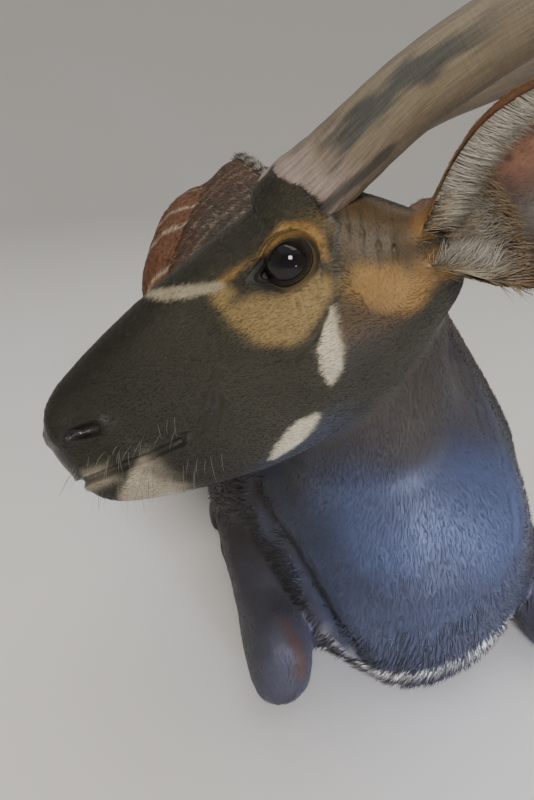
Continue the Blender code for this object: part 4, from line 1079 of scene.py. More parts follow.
def tufts(name, root, normal, way, length, width, lift, colours, segments=1, droop=None, tip_gain=1.2):
    """Solid three-sided spikes that leave the skin along way, bend by droop and taper to a point."""
    count = len(root)
    across = unit(np.cross(way, normal))
    bend = normal * lift[:, None]
    fall = np.zeros_like(root) if droop is None else droop
    rings, shades = [], []
    for step in range(segments):
        u = step / segments
        centre = root + way * (length * u)[:, None] + bend * (u * (2 - u)) + fall * u * u
        centre = centre - normal * (0.0006 * (1 - u))
        wide = (width * (0.85 if step == 0 else (1 - u) ** 0.6))[:, None]
        rings += [centre - across * wide * 0.5, centre + across * wide * 0.5, centre + normal * wide * 0.40]
        shades += [ROOT_SHADE + (tip_gain - ROOT_SHADE) * u] * 3
    rings.append(root + way * length[:, None] + bend + fall)
    shades.append(tip_gain)
    per = 3 * segments + 1
    points = np.stack(rings, axis=1).reshape(-1, 3)
    points[:, 2] = np.maximum(points[:, 2], FLOOR_GAP)
    pattern = [(0, 2, 1)]
    for step in range(segments - 1):
        base = 3 * step
        for j in range(3):
            k = (j + 1) % 3
            pattern += [(base + j, base + k, base + 3 + k), (base + j, base + 3 + k, base + 3 + j)]
    base = 3 * (segments - 1)
    pattern += [(base + j, base + (j + 1) % 3, per - 1) for j in range(3)]
    pattern = np.array(pattern)
    faces = (np.arange(count)[:, None, None] * per + pattern[None]).reshape(-1, 3)
    obj = mesh_from_arrays(name, points, faces)
    shade = np.array(shades)[None, :, None]
    store_colour(obj.data, np.clip(colours[:, None, :] * shade, 0, 1).reshape(-1, 3))
    place = box_unwrap(root, normal)
    angle = 2 * math.pi * np.arange(per) / per
    offset = PATCH * np.stack((np.cos(angle), np.sin(angle)), axis=1)
    corner = (place[:, None, :] + offset[None])[np.arange(count)[:, None, None], pattern.reshape(1, -1, 3)]
    uv = obj.data.uv_layers.new(name="OFBake")
    uv.data.foreach_set("uv", corner.astype(np.float32).ravel())
    return obj


def neckline_near(points):
    """How close each point is to the soft folds between horn and ear, where the hair is shortest."""
    local = to_head(points)
    local[:, 2] = np.abs(local[:, 2])
    away = np.min([distance_to(local, path) for path in NECKLINE_FOLDS], axis=0)
    return 1.0 - ease(0.008, 0.022, away)


def coat_piece(patch, name, keep, density, length, width, lift, turn, seed, slot):
    """One piece of the coat over part of a surface."""
    place, normal, lie, weights, draw = draw_roots(patch, density, keep, seed)
    count = len(place)
    across = np.cross(normal, lie)
    sway = 0.5 * ripple(place, 0.05, seed + 1) * turn + draw.normal(0, turn, count)
    way = unit(lie + across * sway[:, None])
    colours = coat_colour(place, weights, normal, draw.uniform(0, 1, count))
    colours = colours * draw.uniform(0.72, 1.28, (count, 1))
    short = 1.0 - 0.40 * neckline_near(place)
    obj = tufts(name, place, normal, way, length * draw.uniform(0.7, 1.25, count) * short,
                width * draw.uniform(0.75, 1.2, count) * (0.4 + 0.6 * short),
                lift * draw.uniform(0.4, 1.5, count) * short, colours)
    finish(obj, slot, LOOKS["coat"])


def bare_places(skin):
    """Which points of the head carry no hair: round the eyes, on the nose and in the mouth's line."""
    local = to_head(skin.points)
    local[:, 2] = np.abs(local[:, 2])
    eye = opening_share(local[:, 0], local[:, 1]) + FAR * (local[:, 2] < 0.03) <= 1.50
    lips = distance_to(local[:, :2], MOUTH) + FAR * (local[:, 0] < 0.17) <= 0.0022
    return eye | lips | (wet_nose(local) >= 0.5)


def make_coat(skin):
    bare = bare_places(skin)
    for name, regions, least, copies, density, length, width, lift, turn, seed, slot in COAT_PIECES:
        keep = skin.weight(*regions) > least
        if "head" in regions:
            keep &= ~bare
        for k in range(copies):
            label = "coat_" + name + ("_%d" % (k + 1) if copies > 1 else "")
            coat_piece(skin, label, keep, density, length, width, lift, turn, seed + k, slot)


# Long hair: ear fringes, crest, tail tuft, whiskers and lashes

def long_hair(name, slot, root, normal, way, length, width, droop, colours, segments=3, lift=0.001):
    count = len(root)
    obj = tufts(name, root, normal, unit(way), length, np.full(count, width), np.full(count, lift),
                colours, segments, droop, 1.1)
    finish(obj, slot, LOOKS["coat"])
    return obj


def make_ear_hair(side, word):
    """The ear's three pieces of long hair, from one row of random draws."""
    draw = np.random.default_rng(90 + side)
    front = -1.0 if side == LEFT else 1.0
    ear_fringe(draw, side, word, front)
    ear_foot(draw, side, word, front)
    ear_swirl(draw, side, word, front)


def ear_fringe(draw, side, word, front):
    """White fringe inside the front rim, with a few hairs at the other rim."""
    line, opening, _ = ear_axes(side)
    count = FRINGE_HAIRS
    share = draw.uniform(0.03, 0.97, count) ** 0.92
    across = front * (0.86 - 0.20 * draw.uniform(0, 1, count) ** 1.2)
    low = draw.uniform(0, 1, count) < 0.05
    share[low] = draw.uniform(0.02, 0.18, low.sum())
    across[low] = -front * (0.96 - 0.22 * draw.uniform(0, 1, low.sum()))
    root = ear_points(side, share, across, EAR_THICKNESS * 0.62)
    normal = np.tile(opening, (count, 1))
    inward = unit(ear_points(side, share, across * 0.2, 0.01) - root)
    lean = 0.30 + 0.10 * ripple(root, 0.02, 95) + 0.10 * draw.normal(size=count)
    way = inward * 0.85 + line * lean[:, None] + opening * (0.12 + 0.16 * draw.uniform(0, 1, (count, 1)))
    length = FRINGE_LENGTH * draw.uniform(0.55, 1.15, count) * np.maximum(1.05 - 1.15 * share, 0.22)
    white = np.array(WHITE) * draw.uniform(0.55, 1.05, (count, 1))
    long_hair("ear_fringe_" + word, "ear_coat", root, normal, way, length, 0.00075,
              (line * 0.12 - opening * 0.18) * length[:, None], white)


def ear_foot(draw, side, word, front):
    """Gold and cream hair that covers the place where the ear meets the head."""
    line, opening, width = ear_axes(side)
    count = FOOT_HAIRS
    share = draw.uniform(-0.02, 0.13, count)
    across = front * draw.uniform(-0.95, 0.92, count)
    root = ear_points(side, np.maximum(share, 0.0), across, EAR_THICKNESS * 0.62)
    root += line * (np.minimum(share, 0.0) * EAR_LENGTH)[:, None]
    way = line * 0.9 + opening * 0.45 + width * (front * -0.25) + 0.14 * draw.normal(size=(count, 3))
    length = 0.026 * draw.uniform(0.6, 1.2, count)
    golden = 1 - ease(0.0, 0.07, share + 0.03 * draw.normal(size=count))
    cream = paint_over(np.tile(CREAM, (count, 1)), GOLD, golden)
    cream *= draw.uniform(0.6, 1.15, (count, 1))
    long_hair("ear_foot_" + word, "ear_coat", root, np.tile(opening, (count, 1)), way, length, 0.0008,
              opening * -0.20 * length[:, None], cream)


def ear_swirl(draw, side, word, front):
    """A swirl of grey hair low in the cup."""
    line, opening, width = ear_axes(side)
    count = SWIRL_HAIRS
    share = draw.uniform(0.02, 0.25, count)
    across = -front * draw.uniform(-0.70, 0.95, count)
    root = ear_points(side, share, across, EAR_THICKNESS * 0.62)
    inward = unit(ear_points(side, share + 0.1, across * 0.0, 0.02) - root)
    swirl = 8.0 * (share - 0.10) + 0.3 * draw.normal(size=count)
    way = inward * 0.45 + opening * 0.35 + line * np.cos(swirl)[:, None]
    way += width * (front * -np.sin(swirl))[:, None]
    length = BASE_TUFT_LENGTH * draw.uniform(0.6, 1.3, count)
    golden = ease(0.12, 0.24, share + 0.04 * draw.normal(size=count))
    grey = paint_over(np.tile(EAR_GREY, (count, 1)), GOLD, 0.8 * golden)
    grey *= draw.uniform(0.5, 1.2, (count, 1))
    normal = np.tile(opening, (count, 1))
    long_hair("ear_tuft_" + word, "ear_coat", root, normal, way, length, 0.0008,
              (opening * -0.35 - line * 0.2) * length[:, None], grey)


def make_crest():
    """Short upright hair along the spine, black and white by turns."""
    draw = np.random.default_rng(17)
    tree = BVHTree.FromObject(bpy.data.objects["skin"], bpy.context.evaluated_depsgraph_get())
    y = np.sort(draw.uniform(CREST_START, CREST_END, CREST_HAIRS))
    x = CREST_HALF * draw.normal(0, 0.5, CREST_HAIRS)
    root = np.stack((x, y, np.zeros(CREST_HAIRS)), axis=1) + ORIGIN
    for i in range(CREST_HAIRS):
        hit = tree.ray_cast(Vector((root[i, 0], root[i, 1], 2.0)), Vector((0, 0, -1)))[0]
        root[i, 2] = hit.z - 0.001
    ends = ease(0, 0.10, y - CREST_START) * ease(0, 0.12, CREST_END - y)
    length = (0.014 + 0.032 * ends) * draw.uniform(0.75, 1.15, CREST_HAIRS)
    way = np.stack((x * 14, np.full(CREST_HAIRS, 0.85), np.full(CREST_HAIRS, 0.62)), axis=1)
    way += 0.12 * draw.normal(size=way.shape)
    light = speckle(0.5 + 0.5 * np.sin(2 * math.pi * y / STRIPE_PITCH), draw.uniform(0, 1, CREST_HAIRS), 0.2)
    colours = paint_over(np.tile(BLACK_BROWN, (CREST_HAIRS, 1)), WHITE, light * 0.9)
    droop = np.tile((0.0, 0.25, -0.30), (CREST_HAIRS, 1)) * length[:, None]
    long_hair("crest_hair", "chestnut_coat", root, np.tile((1.0, 0.0, 0.05), (CREST_HAIRS, 1)), way,
              length, 0.0021, droop, colours)


def make_tail_tuft():
    draw = np.random.default_rng(19)
    turn = draw.uniform(0, 2 * math.pi, TUFT_HAIRS)
    back = draw.uniform(0, 0.055, TUFT_HAIRS)
    ring = np.stack((np.zeros(TUFT_HAIRS), np.cos(turn), np.sin(turn)), axis=1)
    root = ORIGIN + TAIL_TIP + (0.012, 0, 0) - np.array((1.0, 0.0, 0.0)) * back[:, None] + ring * 0.006
    way = np.array((1.0, 0.0, 0.02)) + ring * (0.08 + 0.20 * draw.uniform(0, 1, TUFT_HAIRS))[:, None]
    way[:, 2] = np.maximum(way[:, 2], 0.0)
    length = TUFT_LENGTH * draw.uniform(0.55, 1.05, TUFT_HAIRS)
    droop = np.zeros((TUFT_HAIRS, 3))
    droop[:, 1] = 0.06 * draw.normal(size=TUFT_HAIRS)
    colours = np.array(BLACK_BROWN) * draw.uniform(0.7, 1.6, (TUFT_HAIRS, 1))
    long_hair("tail_tuft", "chestnut_coat", root, ring, way, length, 0.0016,
              droop * length[:, None], colours, 3, 0.002)


def make_whiskers(tree):
    """Stiff sparse hairs on lips and chin."""
    draw = np.random.default_rng(23)
    roots, normals, ways = [], [], []
    while len(roots) < 150:
        a = draw.uniform(0.16, 0.292)
        low = draw.uniform() < 0.55
        n = np.interp(a, [r[0] for r in MOUTH[::-1]], [r[1] for r in MOUTH[::-1]])
        n += -draw.uniform(0.010, 0.034) if low else draw.uniform(0.008, 0.026)
        side = draw.choice((LEFT, RIGHT))
        hit, normal = tree.ray_cast(Vector(on_head(a, n, 0.12 * side)), Vector(-HEAD_LEFT * side))[:2]
        if hit is None:
            continue
        roots.append(np.array(hit))
        normals.append(np.array(normal))
        ways.append(np.array(normal) + NOSE * 0.5 - BROW * 0.5 + 0.25 * draw.normal(size=3))
    count = len(roots)
    length = draw.uniform(0.014, 0.030, count)
    shade = np.where(draw.uniform(0, 1, (count, 1)) < 0.5, 0.03, 0.5) * np.array((1.0, 0.95, 0.85))
    long_hair("whiskers", "face_coat", np.array(roots), unit(np.cross(ways, normals)), np.array(ways),
              length, 0.00055, np.tile(-BROW * 0.2, (count, 1)) * length[:, None], shade)


# Lids

def make_lids(tree, side, word):
    """Both lids of an eye as one closed ring: wet rim, roll, creases, and a brim under the skin."""
    angle = np.linspace(0, 2 * math.pi, LID_STEPS, endpoint=False)
    edge_a, edge_n = opening_at(angle)
    upper = ease(-0.25, 0.55, np.sin(angle))
    rows = smooth_rows(LID_PROFILE, LID_ROUNDS * (len(LID_PROFILE) - 1))
    tear = bump_at(np.angle(np.exp(1j * (angle - TEAR_ANGLE))), 0.0, 0.42)
    top = LID_ROUNDS * 12
    local = np.empty((len(rows), LID_STEPS, 3))
    for i, (share, over, blend) in enumerate(rows):
        a, n = edge_a * share, edge_n * share
        ball = ball_height(a, n)
        height = np.array([skin_height(tree, side, *place) for place in zip(a, n)])
        fold = over if share < 1.2 or i > top else over * (0.35 + 0.9 * upper) * (1 - 0.8 * tear)
        local[i] = np.stack((a, n, ball * (1 - blend) + height * blend + fold), axis=1)
    local[..., 2] *= side
    points = from_head(local.reshape(-1, 3))
    obj = mesh_from_arrays("eyelids_" + word, points, grid_faces(len(rows), LID_STEPS, True, True))
    outwards(obj)
    count = len(points)
    weights = np.zeros((count, len(REGIONS)))
    weights[:, REGIONS.index("head")] = 1.0
    normals = vertex_array(obj.data, "normal")
    colours = coat_colour(points, weights, normals, np.full(count, SKIN_LUCK))
    shares = np.repeat(rows[:, 0], LID_STEPS)
    colours = paint_over(colours, WET_BLACK, 1 - ease(1.03, 1.09, shares))
    corner = (1 - ease(1.25, 1.90, shares)) * np.tile(tear, len(rows))
    colours = paint_over(colours, WET_BLACK, 0.85 * corner)
    store_colour(obj.data, colours)
    finish(obj, "face_coat", LOOKS["lid"])

    strip = np.arange(LID_ROUNDS * 4, top)
    triangles = []
    for i in strip:
        for j in range(LID_STEPS):
            k = (j + 1) % LID_STEPS
            low, high = i * LID_STEPS, (i + 1) * LID_STEPS
            triangles += [(low + j, low + k, high + k), (low + j, high + k, high + j)]
    lie = np.tile(unit(-NOSE * 0.95 - BROW * 0.30), (count, 1))
    patch = Patch(points, normals, lie, weights, np.array(triangles))
    coat_piece(patch, "coat_lids_" + word, np.ones(count), 520000, 0.0036, 0.00062, 0.0004, 0.12,
               33 + side, "face_coat")
    make_lashes(points.reshape(len(rows), LID_STEPS, 3), angle, side, word)


def skin_height(tree, side, a, n):
    hit = tree.ray_cast(Vector(on_head(a, n, 0.14 * side)), Vector(-HEAD_LEFT * side))[0]
    return 0.06 if hit is None else (np.array(hit) - HEAD_MIDDLE) @ HEAD_LEFT * side


def make_lashes(rows, angle, side, word):
    """Lashes along the upper rim, longest over the middle, with short ones below."""
    draw = np.random.default_rng(29 + side)
    out = HEAD_LEFT * side
    turn = np.concatenate((draw.uniform(0.15, 2.95, LASHES), draw.uniform(3.5, 5.9, LASHES // 3)))
    column = np.searchsorted(angle, turn % (2 * math.pi)) % LID_STEPS
    root = rows[LID_ROUNDS * 3, column]
    away = unit(NOSE * np.cos(turn)[:, None] + BROW * np.sin(turn)[:, None])
    long_part = np.where(turn < 3.2, np.sin(np.clip(turn, 0, math.pi)) * 0.8 + 0.3, 0.35)
    length = LASH_LENGTH * long_part * draw.uniform(0.7, 1.1, len(turn))
    way = out * 0.75 + away * 0.55 - NOSE * 0.15 + 0.10 * draw.normal(size=(len(turn), 3))
    droop = (away * 0.25 - out * 0.25 - BROW * 0.20) * length[:, None]
    colours = np.tile(LASH_BLACK, (len(turn), 1))
    long_hair("lashes_" + word, "face_coat", root, np.cross(way, away), way, length, 0.00045, droop, colours)


# Materials

LOOKS = {}


def new_look(name):
    look = bpy.data.materials.new(name)
    look.use_nodes = True
    return look, look.node_tree.nodes, look.node_tree.links, look.node_tree.nodes["Principled BSDF"]


def noise(nodes, links, vector, scale, detail, roughness=0.5):
    made = nodes.new("ShaderNodeTexNoise")
    made.inputs["Scale"].default_value = scale
    made.inputs["Detail"].default_value = detail
    made.inputs["Roughness"].default_value = roughness
    links.new(vector, made.inputs["Vector"])
    return made.outputs["Fac"]


def gained(nodes, links, colour, amount, low, high):
    """A colour made darker and lighter by a value from 0 to 1."""
    gain = nodes.new("ShaderNodeMapRange")
    gain.inputs["To Min"].default_value = low
    gain.inputs["To Max"].default_value = high
    links.new(amount, gain.inputs["Value"])
    made = nodes.new("ShaderNodeVectorMath")
    made.operation = "SCALE"
    links.new(colour, made.inputs[0])
    links.new(gain.outputs["Result"], made.inputs["Scale"])
    return made.outputs["Vector"]


def bumped(nodes, links, shader, height, strength, distance):
    bump = nodes.new("ShaderNodeBump")
    bump.inputs["Strength"].default_value = strength
    bump.inputs["Distance"].default_value = distance
    links.new(height, bump.inputs["Height"])
    links.new(bump.outputs["Normal"], shader.inputs["Normal"])


def painted(nodes, name):
    made = nodes.new("ShaderNodeAttribute")
    made.attribute_name = name
    return made.outputs["Color"]


def place_of(nodes):
    return nodes.new("ShaderNodeTexCoord").outputs["Object"]


def coat_look():
    """Short hair: colour from the coat's attribute, a soft sheen and a fine grain."""
    look, nodes, links, shader = new_look("short_coat")
    grain = noise(nodes, links, place_of(nodes), 420.0, 3.0)
    links.new(gained(nodes, links, painted(nodes, "coat"), grain, 0.75, 1.25), shader.inputs["Base Color"])
    bumped(nodes, links, shader, grain, 0.35, 0.0006)
    shader.inputs["Roughness"].default_value = 0.50
    shader.inputs["Specular IOR Level"].default_value = 0.32
    shader.inputs["Sheen Weight"].default_value = 0.08
    shader.inputs["Sheen Roughness"].default_value = 0.4
    shader.inputs["Sheen Tint"].default_value = (0.80, 0.80, 0.80, 1.0)
    return look


def lid_look():
    """Skin of the lids: black and moist at the rim, fine-grained further out."""
    look, nodes, links, shader = new_look("lid_skin")
    grain = noise(nodes, links, place_of(nodes), 700.0, 3.0)
    links.new(gained(nodes, links, painted(nodes, "coat"), grain, 0.8, 1.2), shader.inputs["Base Color"])
    bumped(nodes, links, shader, grain, 0.3, 0.0004)
    shader.inputs["Roughness"].default_value = 0.50
    shader.inputs["Specular IOR Level"].default_value = 0.22
    return look


def nose_look():
    """Naked nose: black, moist and finely pebbled."""
    look, nodes, links, shader = new_look("nose_pad")
    pebble = nodes.new("ShaderNodeTexVoronoi")
    pebble.feature = "DISTANCE_TO_EDGE"
    pebble.inputs["Scale"].default_value = 380.0
    links.new(place_of(nodes), pebble.inputs["Vector"])
    links.new(gained(nodes, links, painted(nodes, "coat"), pebble.outputs["Distance"], 0.7, 2.2),
              shader.inputs["Base Color"])
    bumped(nodes, links, shader, pebble.outputs["Distance"], 0.5, 0.0012)
    shader.inputs["Roughness"].default_value = 0.24
    return look


def ear_look():
    """Naked skin inside the ear, thin and a little translucent."""
    look, nodes, links, shader = new_look("ear_skin")
    grain = noise(nodes, links, place_of(nodes), 260.0, 5.0, 0.65)
    links.new(gained(nodes, links, painted(nodes, "coat"), grain, 0.6, 1.4), shader.inputs["Base Color"])
    bumped(nodes, links, shader, grain, 0.4, 0.0010)
    shader.inputs["Roughness"].default_value = 0.46
    shader.inputs["Subsurface Weight"].default_value = 0.15
    shader.inputs["Subsurface Radius"].default_value = (0.010, 0.004, 0.002)
    return look


def horn_look():
    """Horn: place colours from the attribute, with fine streaks lengthwise and worn fibres."""
    look, nodes, links, shader = new_look("horn_keratin")
    uv = nodes.new("ShaderNodeUVMap")
    uv.uv_map = "horn_map"
    stretch = nodes.new("ShaderNodeMapping")
    stretch.inputs["Scale"].default_value = (64.0, 5.0, 1.0)
    links.new(uv.outputs["UV"], stretch.inputs["Vector"])
    streaks = noise(nodes, links, stretch.outputs["Vector"], 2.4, 7.0, 0.75)
    cross = nodes.new("ShaderNodeMapping")
    cross.inputs["Scale"].default_value = (5.0, 210.0, 1.0)
    links.new(uv.outputs["UV"], cross.inputs["Vector"])
    lines = noise(nodes, links, cross.outputs["Vector"], 2.0, 4.0, 0.6)
    colour = gained(nodes, links, painted(nodes, "horn"), streaks, -0.35, 2.35)
    colour = gained(nodes, links, colour, lines, 0.78, 1.22)
    links.new(colour, shader.inputs["Base Color"])
    both = nodes.new("ShaderNodeMath")
    both.operation = "ADD"
    links.new(streaks, both.inputs[0])
    links.new(lines, both.inputs[1])
    bumped(nodes, links, shader, both.outputs["Value"], 0.45, 0.0014)
    shader.inputs["Roughness"].default_value = 0.52
    shader.inputs["Specular IOR Level"].default_value = 0.30
    return look


def hoof_look():
    """Hooves: dark horn with growth rings, mottled with lighter, dusty patches."""
    look, nodes, links, shader = new_look("hoof_keratin")
    place = place_of(nodes)
    grain = noise(nodes, links, place, 160.0, 5.0, 0.6)
    rings = nodes.new("ShaderNodeTexWave")
    rings.bands_direction = "Y"
    rings.inputs["Scale"].default_value = 60.0
    rings.inputs["Distortion"].default_value = 2.5
    links.new(place, rings.inputs["Vector"])
    ramp = nodes.new("ShaderNodeValToRGB")
    ramp.color_ramp.elements[0].color = HOOF_DARK
    ramp.color_ramp.elements[1].color = HOOF_LIGHT
    links.new(grain, ramp.inputs["Fac"])
    links.new(gained(nodes, links, ramp.outputs["Color"], rings.outputs["Fac"], 0.8, 1.2),
              shader.inputs["Base Color"])
    bumped(nodes, links, shader, rings.outputs["Fac"], 0.3, 0.0008)
    shader.inputs["Roughness"].default_value = 0.44
    return look


def eye_look(word):
    """The wet eyeball, with its iris painted on."""
    look, nodes, links, shader = new_look("wet_eye_" + word)
    fibres = noise(nodes, links, place_of(nodes), 500.0, 3.0)
    links.new(gained(nodes, links, painted(nodes, "iris"), fibres, 0.8, 1.2), shader.inputs["Base Color"])
    shader.inputs["Roughness"].default_value = 0.035
    shader.inputs["Specular IOR Level"].default_value = 0.36
    return look


# Horns, eyes and hooves

def horn_axes(side):
    """Centres along a horn in head places, and its radius."""
    rows = smooth_rows(HORN_PATH, HORN_STEPS)
    if side == RIGHT:
        rows[:, 1] += FAR_HORN_RISE * ease(0.02, 0.12, rows[:, 0])
    return rows * (-1, 1, 1, 1)


def horn_frames(side, rows):
    """Centres of the horn's rings, and their two axes before the horn's own turn."""
    centres = np.array([on_head(a, n, t * side) for a, n, t in rows[:, :3]])
    ahead = np.empty_like(centres)
    ahead[1:-1] = centres[2:] - centres[:-2]
    ahead[0], ahead[-1] = centres[1] - centres[0], centres[-1] - centres[-2]
    ahead = unit(ahead)
    front = unit(BROW - ahead * (ahead @ BROW)[:, None])
    return centres, front, unit(np.cross(front, ahead))


def horn_rings(side, rows, angle, ripples, rise):
    """Rings of points round a horn, with its keel and turn, and their height over its middle."""
    centres, front, out = horn_frames(side, rows)
    turn = side * HORN_TURNS * 2 * math.pi * np.arange(len(rows))[:, None] / HORN_STEPS
    keel = HORN_KEEL * np.maximum(0, np.cos(angle)) ** 6
    radius = rows[:, 3][:, None] * (0.94 + keel + ripples)
    x = (radius + rise) * np.cos(angle)
    y = (radius * HORN_FLATTEN + rise) * np.sin(angle)
    c, s = np.cos(turn), np.sin(turn)
    along_front, along_out = x * c - y * s, x * s + y * c
    return (centres[:, None] + front[:, None] * along_front[..., None]
            + out[:, None] * along_out[..., None]), along_front


def make_horn(side, word):
    rows = horn_axes(side)
    share = np.linspace(0, 1, HORN_STEPS + 1)[:, None]
    angle = np.linspace(0, 2 * math.pi, HORN_SIDES, endpoint=False)[None]
    flute = 0.006 * np.sin(angle * 17 + 3 * np.sin(9 * share)) + 0.004 * np.sin(angle * 29 + 5 * share)
    rings = 0.012 * np.sin(share * 150 + 1.5 * np.sin(angle)) * (1 - ease(0.05, 0.30, share))
    seat = -0.22 * (1 - ease(0.0, 0.014, share))
    points, along_front = horn_rings(side, rows, angle, flute * (1 - share) + rings + seat, 0.0)
    obj = mesh_from_arrays("horn_sheath_" + word, points.reshape(-1, 3),
                           grid_faces(HORN_STEPS + 1, HORN_SIDES, True))
    close_ends(obj)
    map_horn(obj, side)
    height = (along_front / rows[:, 3][:, None]).ravel()
    plain = (angle + side * HORN_TURNS * 2 * math.pi * share).ravel()
    colours = horn_colour(np.repeat(share, HORN_SIDES), height, plain, points.reshape(-1, 3))
    store_colour(obj.data, colours, "horn")
    finish(obj, "horn_surface", LOOKS["horn"], "horn_" + word)


def horn_colour(share, height, angle, points):
    """Pink-grey at the foot, a blue-grey band along the side, tan edges and a mauve end."""
    blotch = ripple(points, 0.045, 61)
    streak = np.stack((0.036 * np.cos(angle), 0.036 * np.sin(angle), 0.085 * share), axis=1)
    fleck = 0.65 * ripple(streak, 0.0065, 62) + 0.35 * ripple(streak, 0.014, 64)
    colours = np.tile(HORN_TAN, (len(points), 1))
    foot = 1 - ease(0.08, 0.26, share + 0.03 * blotch + 0.02 * fleck)
    colours = paint_over(colours, HORN_FOOT, foot)
    upper = ease(0.45, 0.80, height + 0.10 * fleck)
    colours = paint_over(colours, HORN_EDGE, 0.75 * upper * ease(0.05, 0.16, share))
    reach = ease(0.15, 0.22, share + 0.02 * fleck) * (1 - ease(0.36, 0.46, share))
    band = bump_at(height, 0.12 + 0.14 * blotch, 0.36) + 0.30 * fleck
    colours = paint_over(colours, HORN_BAND, 0.92 * ease(0.22, 0.80, band) * reach)
    low = bump_at(height, -0.66, 0.13) * ease(0.03, 0.08, share) * (1 - ease(0.22, 0.30, share))
    colours = paint_over(colours, HORN_LOW_BAND, 0.85 * ease(0.35, 0.85, low + 0.34 * fleck))
    a, n, t = to_head(points).T
    under = a - CUFF_PLANE[0] - CUFF_PLANE[1] * n - CUFF_PLANE[2] * np.abs(t)
    colours = paint_over(colours, BROW_BLACK, ease(0.001, 0.003, under))
    end = ease(0.40, 0.54, share)
    colours = paint_over(colours, HORN_END, 0.75 * end)
    return paint_over(colours, HORN_TIP, ease(0.93, 1.0, share))


def map_horn(obj, side):
    """A map round and along the horn, with its seam kept straight and its turn taken out."""
    index = np.empty(len(obj.data.loops), np.int32)
    obj.data.loops.foreach_get("vertex_index", index)
    place = np.stack(((index % HORN_SIDES) / HORN_SIDES, index // HORN_SIDES / HORN_STEPS), axis=1)
    for face in obj.data.polygons:
        if face.loop_total == 4:
            corners = slice(face.loop_start, face.loop_start + 4)
            around = place[corners, 0]
            place[corners, 0] = np.where((around < 0.5) & (around.max() > 0.75), around + 1.0, around)
    place[:, 0] += side * HORN_TURNS * place[:, 1]
    uv = obj.data.uv_layers.new(name="horn_map")
    uv.data.foreach_set("uv", place.astype(np.float32).ravel())


def close_ends(obj):
    """Fills open ends and turns every face outwards."""
    select_only(obj)
    bpy.ops.object.mode_set(mode="EDIT")
    bpy.ops.mesh.select_mode(type="EDGE")
    bpy.ops.mesh.select_all(action="DESELECT")
    bpy.ops.mesh.select_non_manifold()
    bpy.ops.mesh.fill_holes(sides=0)
    bpy.ops.mesh.select_all(action="SELECT")
    bpy.ops.mesh.normals_make_consistent(inside=False)
    bpy.ops.object.mode_set(mode="OBJECT")


def make_eye(side, word):
    bpy.ops.object.select_all(action="DESELECT")
    bpy.ops.mesh.primitive_uv_sphere_add(segments=96, ring_count=64, radius=EYE_RADIUS,
                                         location=tuple(EYES[side]))
    obj = bpy.context.view_layer.objects.active
    obj.name = "eyeball_" + word
    bpy.ops.object.transform_apply(location=True, rotation=True, scale=True)
    points = vertex_array(obj.data)
    local = (points - EYES[side]) @ HEAD_FRAME.T / EYE_RADIUS
    a, n, t = local[:, 0], local[:, 1], local[:, 2] * side
    bulge = ease(0.72, 1.0, t) * 0.0010
    store_points(obj.data, points + unit(points - EYES[side]) * bulge[:, None])
    ring = np.hypot(a, n)
    colours = np.tile(EYE_BROWN, (len(points), 1))
    colours = paint_over(colours, EYE_RING, bump_at(ring, 0.74, 0.09) * ease(-0.6, 0.8, -a))
    colours = paint_over(colours, EYE_BLACK, ease(0.78, 0.90, ring))
    pupil = 1 - ease(0.80, 1.1, np.hypot(a / 0.44, n / 0.24))
    colours = paint_over(colours, PUPIL_BLACK, pupil)
    store_colour(obj.data, colours, "iris")
    obj.data.shade_smooth()
    finish(obj, "eye_surface", eye_look(word), "eye_" + word)


def make_hoof(node):
    """The part's hoof with its facets rounded off."""
    obj = merged_copy(node, 0.0)
    obj.name = node + "_horn"
    rounded = obj.modifiers.new("rounded", "SUBSURF")
    rounded.levels = 2
    rounded.render_levels = 2
    apply_modifiers(obj)
    obj.data.shade_smooth()
    finish(obj, "hoof_surface", LOOKS["hoof"], node)


# Skin's finish

def dress_skin(skin):
    obj = skin.obj
    luck = np.full(len(skin.points), SKIN_LUCK)
    store_colour(obj.data, coat_colour(skin.points, skin.weights, skin.normals, luck))
    obj.data.shade_smooth()
    finish(obj, "chestnut_coat", LOOKS["coat"], *[n for n in FLESH if not n.startswith("eye")],
           "ear_left", "ear_right")
    obj.data.materials.append(LOOKS["nose"])
    obj.data.materials.append(LOOKS["ear"])
    local = to_head(skin.points)
    local[:, 2] = np.abs(local[:, 2])
    wet = wet_nose(local) * skin.weight("head")
    inner = np.zeros(len(skin.points))
    for side in (LEFT, RIGHT):
        opening = ear_axes(side)[1]
        mine = np.sign(to_head(skin.points)[:, 2]) == side
        inner = np.maximum(inner, mine * skin.weight("ear") * (skin.normals @ opening > 0.1))
    slots = np.zeros(len(skin.triangles), np.int32)
    slots[wet[skin.triangles].mean(axis=1) > 0.55] = 1
    slots[inner[skin.triangles].mean(axis=1) > 0.6] = 2
    obj.data.polygons.foreach_set("material_index", slots)


# Camera, light and stage

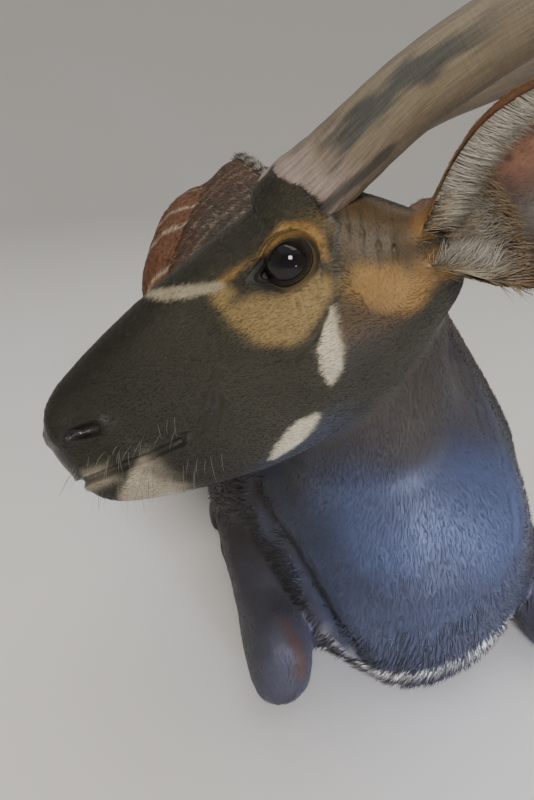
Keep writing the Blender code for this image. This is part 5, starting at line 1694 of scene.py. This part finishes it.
def make_stage():
    """A pale floor that curves up into a round wall."""
    bpy.ops.object.select_all(action="DESELECT")
    bpy.ops.mesh.primitive_circle_add(vertices=96, radius=STAGE_RADIUS - STAGE_CURVE, fill_type="NGON")
    stage = bpy.context.view_layer.objects.active
    stage.name = "studio_floor"
    bpy.ops.object.mode_set(mode="EDIT")
    bpy.ops.mesh.select_mode(type="FACE")
    radius, height = STAGE_RADIUS - STAGE_CURVE, 0.0
    for step in range(1, 14):
        angle = math.pi / 2 * min(step, 12) / 12
        wide = STAGE_RADIUS - STAGE_CURVE * (1 - math.sin(angle))
        high = STAGE_CURVE * (1 - math.cos(angle)) if step < 13 else STAGE_HEIGHT
        bpy.ops.mesh.extrude_region_move(TRANSFORM_OT_translate={"value": (0, 0, high - height)})
        bpy.ops.transform.resize(value=(wide / radius, wide / radius, 1.0))
        radius, height = wide, high
    bpy.ops.mesh.delete(type="ONLY_FACE")
    bpy.ops.object.mode_set(mode="OBJECT")
    bpy.ops.object.select_all(action="DESELECT")
    stage.data.shade_smooth()
    look, _, _, shader = new_look("pale_floor")
    shader.inputs["Base Color"].default_value = FLOOR_PALE
    shader.inputs["Roughness"].default_value = 0.85
    stage.data.materials.append(look)


def area_light(name, place, aim, power, size, colour, beam=math.pi):
    light = bpy.data.lights.new(name, "AREA")
    light.energy = power
    light.size = size
    light.color = colour
    light.spread = beam
    obj = bpy.data.objects.new(name, light)
    bpy.context.scene.collection.objects.link(obj)
    obj.location = place
    obj.rotation_euler = (Vector(aim) - Vector(place)).to_track_quat("-Z", "Y").to_euler()


def make_camera():
    camera = bpy.data.cameras.new("camera")
    camera.lens = CAMERA_LENS
    camera.sensor_width = 36.0
    camera.clip_start = 0.01
    obj = bpy.data.objects.new("camera", camera)
    bpy.context.scene.collection.objects.link(obj)
    obj.location = Vector(CAMERA_PLACE) + Vector(ORIGIN)
    obj.rotation_euler = (math.pi / 2 - CAMERA_PITCH, 0.0, -CAMERA_YAW)
    bpy.context.scene.camera = obj


def make_lights():
    world = bpy.data.worlds.new("studio")
    bpy.context.scene.world = world
    world.use_nodes = True
    world.node_tree.nodes["Background"].inputs["Color"].default_value = (0.93, 0.92, 0.90, 1)
    world.node_tree.nodes["Background"].inputs["Strength"].default_value = 0.62
    x, y = ORIGIN[:2]
    area_light("key_panel", (x - 0.7, y - 1.9, 1.9), (x - 0.1, y, 0.45), 46, 0.6, (1.0, 0.96, 0.88))
    area_light("top_panel", (x + 0.5, y + 0.6, 2.9), (x, y + 0.3, 0.3), 42, 2.4, (1.0, 0.98, 0.95))
    area_light("chest_panel", (x + 0.3, y - 1.6, 0.30), (x + 0.02, y + 0.05, 0.17), 1.7, 0.3,
               (0.58, 0.66, 1.0), math.radians(24))


LOOKS.update(coat=coat_look(), lid=lid_look(), nose=nose_look(), ear=ear_look(), horn=horn_look(),
             hoof=hoof_look())
skin = Skin()
skin.smooth()
shape_head(skin)
shape_neck(skin)
skin.sink()
dress_skin(skin)
make_coat(skin)
skin_tree = BVHTree.FromPolygons(skin.points.tolist(), skin.triangles.tolist())
for side, word in SIDES:
    make_lids(skin_tree, side, word)
    make_ear_hair(side, word)
    make_horn(side, word)
    make_eye(side, word)
make_crest()
make_tail_tuft()
make_whiskers(skin_tree)
for node in sorted(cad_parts):
    if node.startswith("hoof"):
        make_hoof(node)
make_stage()
make_camera()
make_lights()
